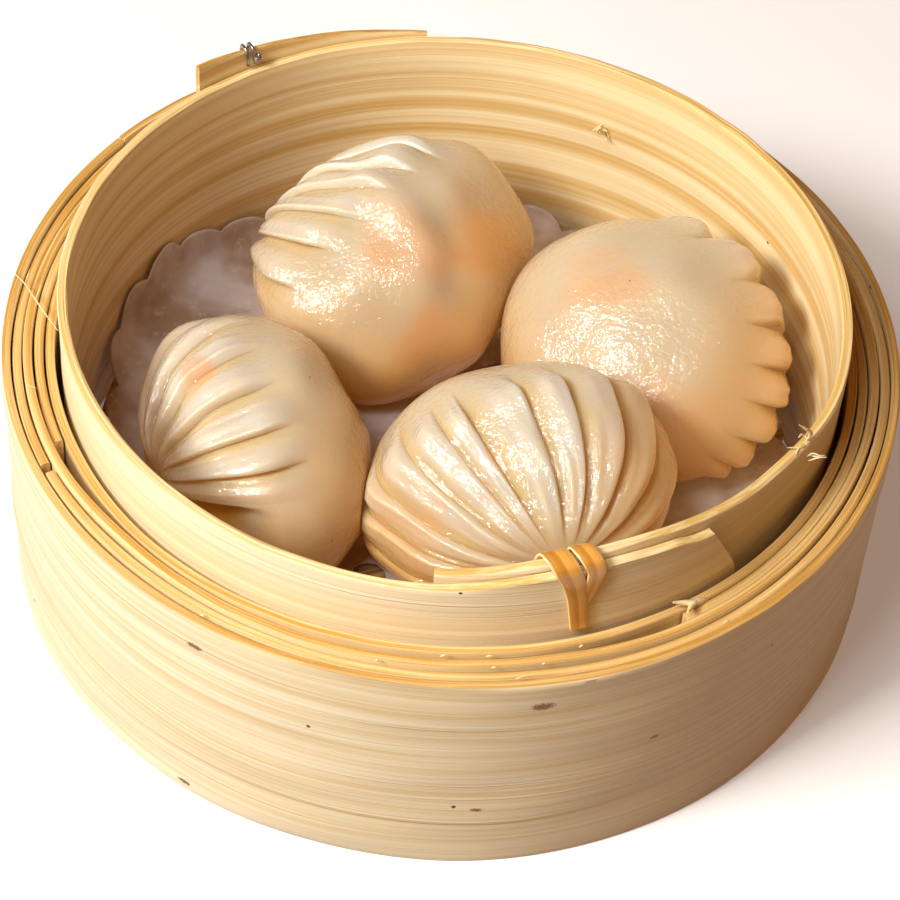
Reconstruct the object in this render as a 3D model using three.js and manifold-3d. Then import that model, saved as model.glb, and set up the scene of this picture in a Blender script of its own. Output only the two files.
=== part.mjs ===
// Four har gow dumplings in a round bamboo steaming basket, on a scalloped paper liner.
// Millimetres, +Z up. The origin is the middle of the ring that the basket stands on.
import * as THREE from 'three';
import { mergeVertices } from 'three/addons/utils/BufferGeometryUtils.js';
import Module from 'manifold-3d';

const wasm = await Module();
wasm.setup();

// ---- driving dimensions ----

const OUTER_RADIUS = 81.6; // outside of the outermost band
const BAND_HEIGHT = 49.2; // bands, from the ground to their top edges
const BAND_THICKNESS = 1.6;
const BAND_PITCH = 1.95; // from one band to the next, where five lie side by side
const FRONT_PITCH = 2.5; // the same where only four do, at the front
const HOOP_RADIUS = 71.0; // outside of the inner hoop
const HOOP_THICKNESS = 1.8;
const HOOP_BOTTOM = 11.6;
const RIM_HEIGHT = 61.0; // top of the inner hoop
const GAP = 0.3; // clearance between pieces that touch
const SLAT_TOP = 16.9; // upper face of the slatted floor
const SLAT_THICKNESS = 2.4;
const PAPER_THICKNESS = 0.3;
const STEP = 6; // degrees between the bends of a curved strip

const PAPER_TOP = SLAT_TOP + GAP + PAPER_THICKNESS;
const FOOD_FLOOR = PAPER_TOP + GAP;

// ---- small helpers ----

const rad = THREE.MathUtils.degToRad;
const lerp = THREE.MathUtils.lerp;
const smooth = THREE.MathUtils.smoothstep;

// A rounded bump of height 1, centred on one angle, all in degrees.
function bump(angle, middle, halfWidth) {
  const away = Math.abs(((angle - middle + 540) % 360) - 180);
  return 1 - smooth(away, 0, halfWidth);
}

// Sheds normals and texture coordinates so that only shared corners are left.
function closed(geometry) {
  geometry.deleteAttribute('normal');
  geometry.deleteAttribute('uv');
  const merged = mergeVertices(geometry, 1e-4);
  merged.computeVertexNormals();
  return merged;
}

// Moves every vertex of a geometry through one function.
function reshape(geometry, move) {
  const place = geometry.getAttribute('position');
  const point = new THREE.Vector3();
  for (let i = 0; i < place.count; i += 1) {
    point.fromBufferAttribute(place, i);
    move(point);
    place.setXYZ(i, point.x, point.y, point.z);
  }
  return closed(geometry);
}

function onCircle(degrees, radius, height) {
  return new THREE.Vector3(radius * Math.cos(rad(degrees)), radius * Math.sin(rad(degrees)), height);
}

const basket = new THREE.Group();
basket.name = 'har_gow_basket';

function addPiece(name, geometry, colour, roughness, metalness = 0) {
  const material = new THREE.MeshStandardMaterial({ color: colour, roughness, metalness });
  const mesh = new THREE.Mesh(geometry, material);
  mesh.name = name;
  basket.add(mesh);
  return mesh;
}

const BAMBOO = 0xe3c98c;
const BAMBOO_EDGE = 0xd3a552;
const CANE = 0xb87826;
const STEEL = 0x8e8f93;
const PAPER = 0xd8cfc2;
const DOUGH = 0xf0dfcb;

// ---- bent bamboo strips ----

// A flat strip bent round the basket's axis. innerRadius and top are functions of the angle.
// A strip with an endCut has its last end cut aslant above the height endCut.from.
function bentStrip({ from, to, innerRadius, thickness, bottom, top, endCut = null }) {
  const steps = Math.ceil((to - from) / STEP);
  const geometry = new THREE.BoxGeometry(1, 1, 1, steps, 1, endCut ? 2 : 1);
  return reshape(geometry, (p) => {
    const along = p.x + 0.5;
    let angle = lerp(from, to, along);
    const upper = top(angle);
    let height = lerp(bottom, upper, p.z + 0.5);
    if (endCut) {
      height = [bottom, endCut.from, upper][Math.round((p.z + 0.5) * 2)];
      if (p.z > 0 && along > 0.999) angle -= endCut.lean;
    }
    const radius = innerRadius(angle) + (0.5 - p.y) * thickness;
    p.copy(onCircle(angle, radius, height));
  });
}

// The inner hoop is one strip that starts inside its own lap at the front, runs once round
// counterclockwise and ends outside the lap with a slanting cut.
const LAP_START = -90;
const LAP_END = 316;
const LAP_DEPTH = HOOP_THICKNESS + GAP; // how far the hidden end is pushed inwards
const LAP_RISE = 3.0; // how far the lashed lap stands above the rim
const INNER_END_RISE = 1.2; // the same for the start of the strip
const RIM_WAVE = 0.35;

function hoopInnerRadius(angle) {
  const plain = HOOP_RADIUS - HOOP_THICKNESS;
  return plain - LAP_DEPTH * (1 - smooth(angle, -38, -14));
}

function hoopTop(angle) {
  const raised = LAP_RISE * bump(angle, -66, 30);
  const innerEnd = INNER_END_RISE * (1 - smooth(angle, -60, -15));
  return RIM_HEIGHT + raised + innerEnd + RIM_WAVE * Math.sin(rad(2 * angle + 40));
}

addPiece(
  'inner_hoop',
  bentStrip({
    from: LAP_START,
    to: LAP_END,
    innerRadius: hoopInnerRadius,
    thickness: HOOP_THICKNESS,
    bottom: HOOP_BOTTOM,
    top: hoopTop,
    endCut: { from: BAND_HEIGHT - 1, lean: 7 },
  }),
  BAMBOO,
  0.55,
);

// A short strip slipped behind the hoop at the back left. It stands above the rim at its cut end
// and sinks to the rim's level at the other.
const BINDING_FROM = 98;
const BINDING_TO = 137;
const BINDING_RISE = 5.0;
const BINDING_THICKNESS = 1.1;

function bindingTop(angle) {
  return RIM_HEIGHT + BINDING_RISE * ((angle - BINDING_FROM) / (BINDING_TO - BINDING_FROM));
}

addPiece(
  'back_binding',
  bentStrip({
    from: BINDING_FROM,
    to: BINDING_TO,
    innerRadius: () => HOOP_RADIUS + GAP,
    thickness: BINDING_THICKNESS,
    bottom: 30,
    top: bindingTop,
  }),
  BAMBOO_EDGE,
  0.55,
);

// Concentric bands outside the hoop. Each is a strip whose two ends meet or stop short.
// place counts bands from the outside, first where five lie abreast and then at the front.
const FRONT_FROM = 208; // the four-band stretch, in degrees from +X
const FRONT_TO = 304;

function frontShare(angle) {
  const turned = ((angle % 360) + 360) % 360;
  return smooth(turned, FRONT_FROM, FRONT_FROM + 22) * (1 - smooth(turned, FRONT_TO - 22, FRONT_TO));
}

function backSwell(angle) {
  return 1.1 * bump(angle, 118, 44); // the bands bulge over the binding strip
}

const bands = [
  { name: 'outer_band', place: 0, frontPlace: 0, from: 146, span: 359.6, lower: 0 },
  { name: 'second_band', place: 1, frontPlace: 1, from: 211.2, span: 358.6, lower: 0.6 },
  { name: 'third_band', place: 2, frontPlace: 2, from: 80, span: 359.5, lower: 0.1 },
  { name: 'fourth_band', place: 3, frontPlace: 3, from: 304.5, span: 262, lower: 0.9 },
  { name: 'fifth_band', place: 4, frontPlace: 3, from: 60, span: 359.5, lower: 0.4 },
];

for (const band of bands) {
  const innerRadius = (angle) => {
    const share = frontShare(angle);
    const inward = lerp(band.place * BAND_PITCH, band.frontPlace * FRONT_PITCH, share);
    return OUTER_RADIUS - inward - BAND_THICKNESS + backSwell(angle);
  };
  const top = (angle) => BAND_HEIGHT - band.lower + 0.35 * Math.sin(rad(3 * angle + 90 * band.place));
  const geometry = bentStrip({
    from: band.from,
    to: band.from + band.span,
    innerRadius,
    thickness: BAND_THICKNESS,
    bottom: 0.25 * band.place,
    top,
  });
  addPiece(band.name, geometry, band.place === 0 ? BAMBOO : BAMBOO_EDGE, 0.6);
}

// ---- cane lashing and wire stitch ----

// A flat or square strand that follows points in order. across gives the strand's width direction.
function strand(points, across, width, thickness) {
  const steps = points.length - 1;
  const geometry = new THREE.BoxGeometry(1, 1, 1, 1, 1, steps);
  return reshape(geometry, (p) => {
    const i = Math.round((p.z + 0.5) * steps);
    const ahead = points[Math.min(i + 1, steps)];
    const behind = points[Math.max(i - 1, 0)];
    const forward = ahead.clone().sub(behind).normalize();
    const side = across.clone().addScaledVector(forward, -across.dot(forward)).normalize();
    const outward = forward.clone().cross(side);
    const moved = points[i].clone().addScaledVector(side, p.x * width);
    p.copy(moved.addScaledVector(outward, p.y * thickness));
  });
}

// A path over the rim in a plane through the axis, from outside to inside. The angle drifts from
// the outer foot to the inner foot, so that a strand can lie aslant.
function overRim({ footAngle, topAngle, outside, inside, foot, crest, innerFoot }) {
  const middle = (outside + inside) / 2;
  const half = (outside - inside) / 2;
  const points = [
    onCircle(footAngle, outside, foot),
    onCircle(lerp(footAngle, topAngle, 0.5), outside, (foot + crest) / 2),
  ];
  for (const turn of [0, 40, 90, 140, 180]) {
    const radius = middle + half * Math.cos(rad(turn));
    const height = crest - 0.35 * half + 0.7 * half * Math.sin(rad(turn));
    points.push(onCircle(lerp(topAngle, topAngle - 1, turn / 180), radius, height));
  }
  points.push(onCircle(topAngle - 1, inside, innerFoot));
  return points;
}

const LASHING_THICKNESS = 0.7;
const LASHING_CREST = 65.3;
const LASHING_OUTSIDE = 71.75;
const LASHING_INSIDE = 66.1;
const tangentAtLashing = new THREE.Vector3(-Math.sin(rad(-71)), Math.cos(rad(-71)), 0);
const lashings = [
  { name: 'cane_lashing_wide', footAngle: -70.8, topAngle: -73.8, width: 5.2 },
  { name: 'cane_lashing_narrow', footAngle: -66.2, topAngle: -68.6, width: 3.6 },
];
for (const { name, footAngle, topAngle, width } of lashings) {
  const points = overRim({
    footAngle,
    topAngle,
    outside: LASHING_OUTSIDE,
    inside: LASHING_INSIDE,
    foot: BAND_HEIGHT + 1.4,
    crest: LASHING_CREST,
    innerFoot: 52,
  });
  addPiece(name, strand(points, tangentAtLashing, width, LASHING_THICKNESS), CANE, 0.45);
}

// Two turns of steel wire hooked over the binding strip near its raised end.
const WIRE_THICKNESS = 0.7;
for (const [index, angle] of [127.1, 128.3].entries()) {
  const crest = bindingTop(angle) + 0.9;
  const points = overRim({
    footAngle: angle,
    topAngle: angle,
    outside: HOOP_RADIUS + GAP + BINDING_THICKNESS + 0.65,
    inside: HOOP_RADIUS - 0.4,
    foot: BAND_HEIGHT + 2,
    crest,
    innerFoot: RIM_HEIGHT + 1.0,
  });
  const across = new THREE.Vector3(-Math.sin(rad(angle)), Math.cos(rad(angle)), 0);
  const wire = strand(points, across, WIRE_THICKNESS, WIRE_THICKNESS);
  addPiece(`wire_stitch_${index + 1}`, wire, STEEL, 0.35, 0.9);
}

// ---- slatted floor ----

const SLAT_WIDTH = 8.2;
const SLAT_PITCH = 11.6;
const SLAT_COUNT = 11;
const FLOOR_TURN = 24; // degrees that the slats are turned from the X axis

// The reach of the floor in one direction, measured in the floor's own turned frame. It keeps
// clear of the hoop a few degrees to either side too, where the hoop's lap steps inwards.
function floorReach(x, y) {
  const angle = THREE.MathUtils.radToDeg(Math.atan2(y, x)) + FLOOR_TURN;
  const nearby = [angle - 9, angle, angle + 9].map((a) => ((a - LAP_START + 360) % 360) + LAP_START);
  return Math.min(...nearby.map(hoopInnerRadius)) - 0.5;
}

function slat(offset, width, thickness) {
  const outline = new THREE.Shape();
  const corners = [];
  for (const side of [1, -1]) {
    for (const part of [-0.5, 0, 0.5]) {
      const y = offset + side * part * width;
      const nearly = side * Math.sqrt(HOOP_RADIUS ** 2 - y ** 2);
      const reach = floorReach(nearly, y);
      corners.push(new THREE.Vector2(side * Math.sqrt(reach ** 2 - y ** 2), y));
    }
  }
  outline.setFromPoints(corners);
  const geometry = new THREE.ExtrudeGeometry(outline, { depth: thickness, bevelEnabled: false });
  return closed(geometry);
}

const slatGroup = new THREE.Group();
slatGroup.rotation.z = rad(FLOOR_TURN);
basket.add(slatGroup);

for (let i = 0; i < SLAT_COUNT; i += 1) {
  const offset = (i - (SLAT_COUNT - 1) / 2) * SLAT_PITCH;
  const geometry = slat(offset, SLAT_WIDTH, SLAT_THICKNESS);
  geometry.translate(0, 0, SLAT_TOP - SLAT_THICKNESS);
  slatGroup.add(addPiece(`floor_slat_${i + 1}`, geometry, BAMBOO_EDGE, 0.7));
}

const BATTEN_THICKNESS = 2.4;
const BATTEN_WIDTH = 9;
const BATTEN_LENGTH = 109.5;
for (const [index, offset] of [-30, 30].entries()) {
  const geometry = new THREE.BoxGeometry(BATTEN_WIDTH, BATTEN_LENGTH, BATTEN_THICKNESS);
  geometry.translate(offset, 0, SLAT_TOP - SLAT_THICKNESS - GAP - BATTEN_THICKNESS / 2);
  slatGroup.add(addPiece(`floor_batten_${index + 1}`, closed(geometry), BAMBOO, 0.7));
}

// ---- paper liner ----

const LOBES = 40;
const LOBE_DEPTH = 2.4;
const FLAT_REACH = 63.0; // where the paper starts to curl up the wall
const CURL_RADIUS = 5;

// How far the sheet reaches from the axis, measured along the paper, before the lobes are cut.
function paperReach(angle) {
  const climbs = 11.5 * bump(angle, 150, 26) + 7.5 * bump(angle, 120, 34) + 5 * bump(angle, 84, 24);
  return 66.0 + climbs + 10 * bump(angle, 26, 17);
}

function lobeEdge(angle) {
  const share = Math.abs(Math.sin((rad(angle) * LOBES) / 2));
  return -LOBE_DEPTH * (1 - share) ** 1.3;
}

// A place on the paper: distance along the sheet and height above its lower face.
function onPaper(angle, distance, lift) {
  const past = Math.max(distance - FLAT_REACH, 0);
  const turn = Math.min(past / CURL_RADIUS, rad(84));
  const straight = past - turn * CURL_RADIUS;
  const bend = CURL_RADIUS - lift;
  const radius = Math.min(distance, FLAT_REACH) + bend * Math.sin(turn) + straight * Math.cos(turn);
  const height = lift + bend * (1 - Math.cos(turn)) + straight * Math.sin(turn);
  return onCircle(angle, radius, SLAT_TOP + GAP + height);
}

// A closed skin over a grid of points: columns run round, rows run from one cap to the other.
function skin(rows, firstCap, lastCap) {
  const columns = rows[0].length;
  const points = [firstCap, ...rows.flat(), lastCap];
  const last = points.length - 1;
  const faces = [];
  const at = (row, column) => 1 + row * columns + (column % columns);
  for (let column = 0; column < columns; column += 1) {
    faces.push(0, at(0, column), at(0, column + 1));
    for (let row = 0; row < rows.length - 1; row += 1) {
      faces.push(at(row, column), at(row + 1, column), at(row + 1, column + 1));
      faces.push(at(row, column), at(row + 1, column + 1), at(row, column + 1));
    }
    faces.push(last, at(rows.length - 1, column + 1), at(rows.length - 1, column));
  }
  const geometry = new THREE.BufferGeometry();
  geometry.setAttribute('position', new THREE.Float32BufferAttribute(points.flatMap((p) => p.toArray()), 3));
  geometry.setIndex(faces);
  return geometry;
}

function paperSheet() {
  const perLobe = 3;
  const angles = Array.from({ length: LOBES * perLobe }, (_, i) => (i * 360) / (LOBES * perLobe));
  const ring = (distance, lift) => angles.map((angle) => onPaper(angle, distance(angle), lift));
  const edge = (angle) => paperReach(angle) + lobeEdge(angle);
  const flat = () => FLAT_REACH;
  const bend = (angle) => lerp(FLAT_REACH, edge(angle), 0.45);
  const rows = [
    ring(flat, PAPER_THICKNESS),
    ring(bend, PAPER_THICKNESS),
    ring(edge, PAPER_THICKNESS),
    ring(edge, 0),
    ring(bend, 0),
    ring(flat, 0),
  ];
  return skin(rows, onPaper(0, 0, PAPER_THICKNESS), onPaper(0, 0, 0));
}

function toManifold(geometry) {
  return new wasm.Manifold(new wasm.Mesh({
    numProp: 3,
    vertProperties: new Float32Array(geometry.getAttribute('position').array),
    triVerts: new Uint32Array(geometry.index.array),
  }));
}

function fromManifold(solid) {
  const mesh = solid.getMesh();
  const geometry = new THREE.BufferGeometry();
  geometry.setAttribute('position', new THREE.BufferAttribute(new Float32Array(mesh.vertProperties), 3));
  geometry.setIndex(new THREE.BufferAttribute(new Uint32Array(mesh.triVerts), 1));
  geometry.computeVertexNormals();
  return geometry;
}

// Steam holes punched through the flat of the paper.
const HOLE_RADIUS = 3.2;
const HOLE_RINGS = [
  { radius: 35, count: 6, first: -110 },
  { radius: 23, count: 2, first: 66 },
];

function punched(sheet) {
  let solid = toManifold(sheet);
  for (const { radius, count, first } of HOLE_RINGS) {
    for (let i = 0; i < count; i += 1) {
      const punch = new THREE.CylinderGeometry(HOLE_RADIUS, HOLE_RADIUS, 4, 10);
      punch.rotateX(Math.PI / 2);
      const place = onCircle(first + (i * 360) / count, radius, SLAT_TOP + GAP);
      punch.translate(place.x, place.y, place.z);
      solid = solid.subtract(toManifold(closed(punch)));
    }
  }
  return fromManifold(solid);
}

addPiece('paper_liner', punched(paperSheet()), PAPER, 0.85);

// ---- har gow ----

// Each dumpling is a plump egg-shaped body. Its wrapper is gathered at one point, the knot, and
// pleats fan out from there over one side to a scalloped crest; the belly beyond is smooth.
//   centre, half: middle of the body and half its three lengths
//   turn: yaw, pitch and roll of the body, in degrees
//   knot: direction of the gathering point; crestWay: direction of the middle of the fan
//   creases: the angle of each crease round the knot, in degrees from the middle of the fan
//   ridges: height of the pleat between each crease and the next
//   begin: where the pleats rise, as angles off the knot; crest, fade: where they end again, for
//     the first and the last pleat; lip: how far the crest stands out
//   lean: which way the pleats lie over; recess: depth of the hollow under the last pleat
const dumplings = [
  {
    name: 'har_gow_front',
    centre: [13.4, -23.8, 34.4],
    half: [28.0, 23.1, 18.5],
    turn: [11, -14, 27],
    knot: [0.42, -0.9, 0.1],
    crestWay: [-0.1, 0.3, 1],
    creases: [-122, -107, -93, -80, -61, -42, -28, 3, 23, 43, 61, 80, 101],
    ridges: [0.6, 0.8, 1.0, 1.3, 0.9, 0.9, 1.5, 1.7, 1.9, 2.0, 1.9, 1.8],
    begin: [10, 40],
    crest: [100, 94],
    fade: 28,
    lip: 0.9,
    lean: 1,
    recess: 1.0,
  },
  {
    name: 'har_gow_left',
    centre: [-34.2, -17.2, 32.6],
    half: [28.6, 20.2, 18.4],
    turn: [114, -7, 2],
    knot: [-0.86, -0.5, 0.08],
    crestWay: [0.3, 0.3, 1],
    creases: [-86, -62, -41, -17, 11, 40, 59, 74],
    ridges: [1.5, 1.6, 1.8, 2.0, 2.0, 1.7, 1.8],
    begin: [6, 30],
    crest: [80, 72],
    fade: 28,
    lip: 0.2,
    lean: 1,
    recess: 5.0,
  },
  {
    name: 'har_gow_back',
    centre: [-12.8, 32.0, 33.6],
    half: [29.9, 24.5, 18.4],
    turn: [52, -13, 16],
    knot: [-0.95, 0.3, -0.06],
    crestWay: [0, 0, 1],
    creases: [-64, -40, -20, 0, 22, 44, 66, 96],
    ridges: [1.2, 1.6, 1.8, 1.8, 1.3, 2.4, 2.2],
    begin: [2, 18],
    crest: [92, 40],
    fade: 24,
    lip: 0.6,
    lean: 1,
    recess: 1.5,
  },
  {
    name: 'har_gow_right',
    centre: [35.8, 14.9, 33.6],
    half: [28.1, 25.1, 18.0],
    turn: [146, -4, -26],
    knot: [0.62, 0.5, -0.6],
    crestWay: [0.9, -0.3, 0.5],
    creases: [-66, -53, -40, -25, -10, 8, 31, 63, 100],
    ridges: [0.5, 0.5, 0.6, 0.6, 0.7, 0.8, 0.8, 0.8],
    begin: [8, 40],
    crest: [77, 77],
    fade: 14,
    lip: 2.6,
    lean: -1,
    recess: 0.5,
  },
];

const PLEAT_PEAK = 0.8; // where a pleat is highest, as a share of its width
const PLEAT_SHARES = [0, 0.4, PLEAT_PEAK]; // where the lines of the surface run along a pleat
const CREST_SPREAD = 9; // degrees over which the crest stands out
const PLAIN_COLUMNS = 11;
const PLAIN_EASE = 1.6; // lines of the plain skin lie closer together next to the last pleat

// The section of one pleat: a slow rise, a peak and a quick fall into the crease.
function pleatSection(share, lean) {
  const along = lean > 0 ? share : 1 - share;
  if (along < PLEAT_PEAK) return smooth(along, 0, PLEAT_PEAK) ** 0.8;
  return Math.cos((Math.PI / 2) * ((along - PLEAT_PEAK) / (1 - PLEAT_PEAK)));
}

function bodyAxes(d) {
  const [yaw, pitch, roll] = d.turn.map(rad);
  const euler = new THREE.Euler(roll, pitch, yaw, 'ZYX');
  return new THREE.Matrix4().makeRotationFromEuler(euler);
}

// Half the width of the plain body, measured from its centre along a direction.
function halfWidth(d, way) {
  const local = way.clone().applyMatrix4(bodyAxes(d).transpose());
  return Math.hypot(local.x * d.half[0], local.y * d.half[1], local.z * d.half[2]);
}

// The hollow under the last pleat: it starts sharply at the crease and runs out round the knot.
function recessShare(from, past) {
  const across = smooth(past, 0, 5) * (1 - smooth(past, 14, 58));
  return across * smooth(from, 3, 22) * (1 - smooth(from, 46, 78));
}

// The surface of a dumpling seen from its centre: from is the angle off the knot, round the
// angle about it, and place the pleat that this line of the surface belongs to, or null.
function dumplingPoint(d, frame, from, round, place) {
  const way = frame.knot.clone().multiplyScalar(Math.cos(rad(from)));
  way.addScaledVector(frame.up, Math.sin(rad(from)) * Math.cos(rad(round)));
  way.addScaledVector(frame.right, Math.sin(rad(from)) * Math.sin(rad(round)));
  const local = way.clone().applyMatrix4(frame.inverse);
  let reach = 1 / Math.hypot(local.x / d.half[0], local.y / d.half[1], local.z / d.half[2]);
  if (place === null) {
    reach -= d.recess * recessShare(from, round - d.creases.at(-1));
  } else {
    const pleats = d.ridges.length;
    const section = pleatSection(place - Math.floor(place), d.lean);
    const inFan = smooth(Math.min(place, pleats - place), 0, 0.8);
    const crest = lerp(...d.crest, place / pleats);
    const alongPleat = smooth(from, ...d.begin) * (1 - smooth(from, crest, crest + d.fade));
    const onCrest = Math.exp(-(((from - crest) / CREST_SPREAD) ** 2));
    const height = d.ridges[Math.floor(place)];
    reach += inFan * (height * alongPleat * (section - 0.5) + d.lip * onCrest * section);
  }
  return way.multiplyScalar(reach).add(frame.centre);
}

// Where two dumplings press together, both are flattened against one plane between them.
const touches = [
  ['har_gow_front', 'har_gow_left', [-1, 0.07, -0.01]],
  ['har_gow_front', 'har_gow_right', [0.41, 0.83, -0.37]],
  ['har_gow_back', 'har_gow_right', [0.91, -0.42, 0.06]],
  ['har_gow_back', 'har_gow_left', [-0.6, -0.79, 0.12]],
];

function contactPlanes(d) {
  const planes = [];
  for (const [first, second, direction] of touches) {
    if (d.name !== first && d.name !== second) continue;
    const way = new THREE.Vector3(...direction).normalize();
    const [a, b] = [first, second].map((name) => dumplings.find((other) => other.name === name));
    const aFace = way.dot(new THREE.Vector3(...a.centre)) + halfWidth(a, way);
    const bFace = way.dot(new THREE.Vector3(...b.centre)) - halfWidth(b, way);
    const middle = (aFace + bFace) / 2;
    if (d.name === first) planes.push({ way, limit: middle - GAP / 2 });
    else planes.push({ way: way.clone().negate(), limit: -middle - GAP / 2 });
  }
  return planes;
}

const RINGS = [9, 20, 32, 45, 58, 70, 80, 90, 102, 118, 138, 160];

// How far from the axis a dumpling may reach at one height: it stays inside the curled paper.
function wallReach(height) {
  const risen = Math.min((height - FOOD_FLOOR) / CURL_RADIUS, 1);
  return FLAT_REACH - 0.6 + (CURL_RADIUS - 0.6) * Math.sqrt(1 - (1 - risen) ** 2);
}

function dumpling(d) {
  const knot = new THREE.Vector3(...d.knot).normalize();
  const up = new THREE.Vector3(...d.crestWay);
  up.addScaledVector(knot, -up.dot(knot)).normalize();
  const frame = {
    centre: new THREE.Vector3(...d.centre),
    knot,
    up,
    right: up.clone().cross(knot),
    inverse: bodyAxes(d).transpose(),
  };
  const columns = [];
  const shares = d.lean > 0 ? PLEAT_SHARES : [0, 1 - PLEAT_PEAK, 1 - PLEAT_SHARES[1]];
  for (let pleat = 0; pleat < d.ridges.length; pleat += 1) {
    for (const share of shares) {
      const round = lerp(d.creases[pleat], d.creases[pleat + 1], share);
      columns.push({ round, place: pleat + share });
    }
  }
  for (let i = 0; i < PLAIN_COLUMNS; i += 1) {
    const share = (i / PLAIN_COLUMNS) ** PLAIN_EASE;
    columns.push({ round: lerp(d.creases.at(-1), d.creases[0] + 360, share), place: null });
  }
  const planes = contactPlanes(d);
  const settle = (p) => {
    for (const { way, limit } of planes) {
      const past = p.dot(way) - limit;
      if (past > 0) p.addScaledVector(way, -past);
    }
    p.z = Math.max(p.z, FOOD_FLOOR);
    const inward = Math.min(wallReach(p.z) / Math.hypot(p.x, p.y), 1);
    p.x *= inward;
    p.y *= inward;
    return p;
  };
  const rows = RINGS.map((from) => (
    columns.map(({ round, place }) => settle(dumplingPoint(d, frame, from, round, place)))
  ));
  const knotPoint = settle(dumplingPoint(d, frame, 0, 0, null));
  const farPoint = settle(dumplingPoint(d, frame, 180, 0, null));
  const geometry = skin(rows.reverse(), farPoint, knotPoint);
  geometry.computeVertexNormals();
  return geometry;
}

for (const d of dumplings) addPiece(d.name, dumpling(d), DOUGH, 0.35);

export default basket;
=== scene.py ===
# %% [markdown]
# # Har gow in a bamboo steaming basket
# Har gow are prawn dumplings in a clear, chewy wrapper, gathered into fine pleats on one side.
# Four of them sit on a scalloped paper in a small round basket made of bent bamboo strips.
# The fixed frame holds the true sizes of every piece. Here each plain solid is replaced by a fine
# mesh that follows the same rule of shape, and each material is built up from how the real one
# is made. The fine meshes come first, piece by piece, and the light and the camera last.

# %% Load the fixed frame
import math

import bpy
import numpy as np
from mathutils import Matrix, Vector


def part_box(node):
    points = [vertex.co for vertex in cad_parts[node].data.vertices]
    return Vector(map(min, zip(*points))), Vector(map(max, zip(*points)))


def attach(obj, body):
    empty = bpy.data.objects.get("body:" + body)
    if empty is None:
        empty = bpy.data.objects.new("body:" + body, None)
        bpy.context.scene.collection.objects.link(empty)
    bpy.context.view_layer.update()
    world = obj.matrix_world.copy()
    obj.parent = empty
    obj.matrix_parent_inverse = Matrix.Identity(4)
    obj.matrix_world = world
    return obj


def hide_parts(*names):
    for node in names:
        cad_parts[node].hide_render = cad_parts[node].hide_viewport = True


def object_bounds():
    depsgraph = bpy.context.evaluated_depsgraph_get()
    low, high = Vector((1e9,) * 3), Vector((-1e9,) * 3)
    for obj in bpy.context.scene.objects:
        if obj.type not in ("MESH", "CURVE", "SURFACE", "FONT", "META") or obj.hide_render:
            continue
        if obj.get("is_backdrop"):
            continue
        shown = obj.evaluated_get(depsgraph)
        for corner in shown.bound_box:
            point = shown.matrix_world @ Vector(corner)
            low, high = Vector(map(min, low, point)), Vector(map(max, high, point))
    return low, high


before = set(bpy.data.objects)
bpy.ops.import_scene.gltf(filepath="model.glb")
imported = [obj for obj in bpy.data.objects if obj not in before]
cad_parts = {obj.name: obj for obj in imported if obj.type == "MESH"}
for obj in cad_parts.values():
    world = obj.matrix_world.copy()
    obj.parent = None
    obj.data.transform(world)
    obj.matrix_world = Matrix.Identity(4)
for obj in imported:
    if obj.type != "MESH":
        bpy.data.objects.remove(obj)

cad_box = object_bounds()
MM = 0.001
print("frame nodes:", len(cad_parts))

# %% [markdown]
# ## Driving sizes
# A basket is a set of rings, so nearly all of it follows from a few radii and heights. They are
# read from the frame's boxes where a box gives them. Angles are in degrees, counterclockwise
# from +X, and the front of the basket is at -90.

# %% Sizes read from the frame
hoop_low, hoop_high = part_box("inner_hoop")
band_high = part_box("outer_band")[1]
slat_low, slat_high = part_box("floor_slat_6")

HOOP_RADIUS = hoop_high.x  # outside of the inner hoop
HOOP_BOTTOM = hoop_low.z
HOOP_THICKNESS = 1.8 * MM
RIM_HEIGHT = 61.0 * MM
OUTER_RADIUS = band_high.x  # outside of the outermost band
BAND_WAVE = 0.35 * MM  # how far the tops of the strips rise and fall
BAND_HEIGHT = band_high.z - BAND_WAVE
BAND_THICKNESS = 1.6 * MM
PAPER_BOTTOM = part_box("paper_liner")[0].z
FOOD_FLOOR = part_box("har_gow_front")[0].z
GAP = 0.3 * MM  # free space between pieces that lie against each other
print("hoop radius %.1f mm, food stands at %.1f mm" % (HOOP_RADIUS / MM, FOOD_FLOOR / MM))

# %% [markdown]
# ## Numbers that vary smoothly
# Natural pieces are never quite even. A sum of sine waves with seeded directions gives smooth
# unevenness in one, two or three dimensions, and it comes out the same on every run.


# %% Small number helpers
def smooth(value, low, high):
    share = np.clip((value - low) / (high - low), 0, 1)
    return share * share * (3 - 2 * share)


def mix(first, second, share):
    return first + (second - first) * share


def unit(vector):
    vector = np.asarray(vector, float)
    return vector / np.linalg.norm(vector)


def bump_at(angle, middle, half_width):
    """A rounded bump of height 1 at one angle, all in degrees."""
    away = np.abs((angle - middle + 540) % 360 - 180)
    return 1 - smooth(away, 0, half_width)


def waves(points, lengths, seed, count=20):
    """Smooth unevenness between about -1 and 1. lengths gives the wave length along each axis."""
    points = np.asarray(points, float)
    dice = np.random.default_rng(seed)
    total = np.zeros(points.shape[:-1])
    for _ in range(count):
        way = unit(dice.normal(size=points.shape[-1])) * dice.uniform(0.5, 1.5)
        total += np.sin(points @ (2 * np.pi * way / np.asarray(lengths)) + dice.uniform(0, 7))
    return total / math.sqrt(count)


def on_circle(angle, radius, height):
    turn = np.radians(angle)
    parts = np.broadcast_arrays(radius * np.cos(turn), radius * np.sin(turn), height)
    return np.stack(parts, axis=-1)


# %% [markdown]
# ## From numbers to pieces
# Most pieces here are a grid of points: rows along the piece and columns round it. One helper
# turns such a grid into faces, and another makes the Blender object, which rides on the basket's
# one body and stands for its plain solid. Per-point values, such as how far a point lies from
# a crease, are stored as attributes for the materials to read.


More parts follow.
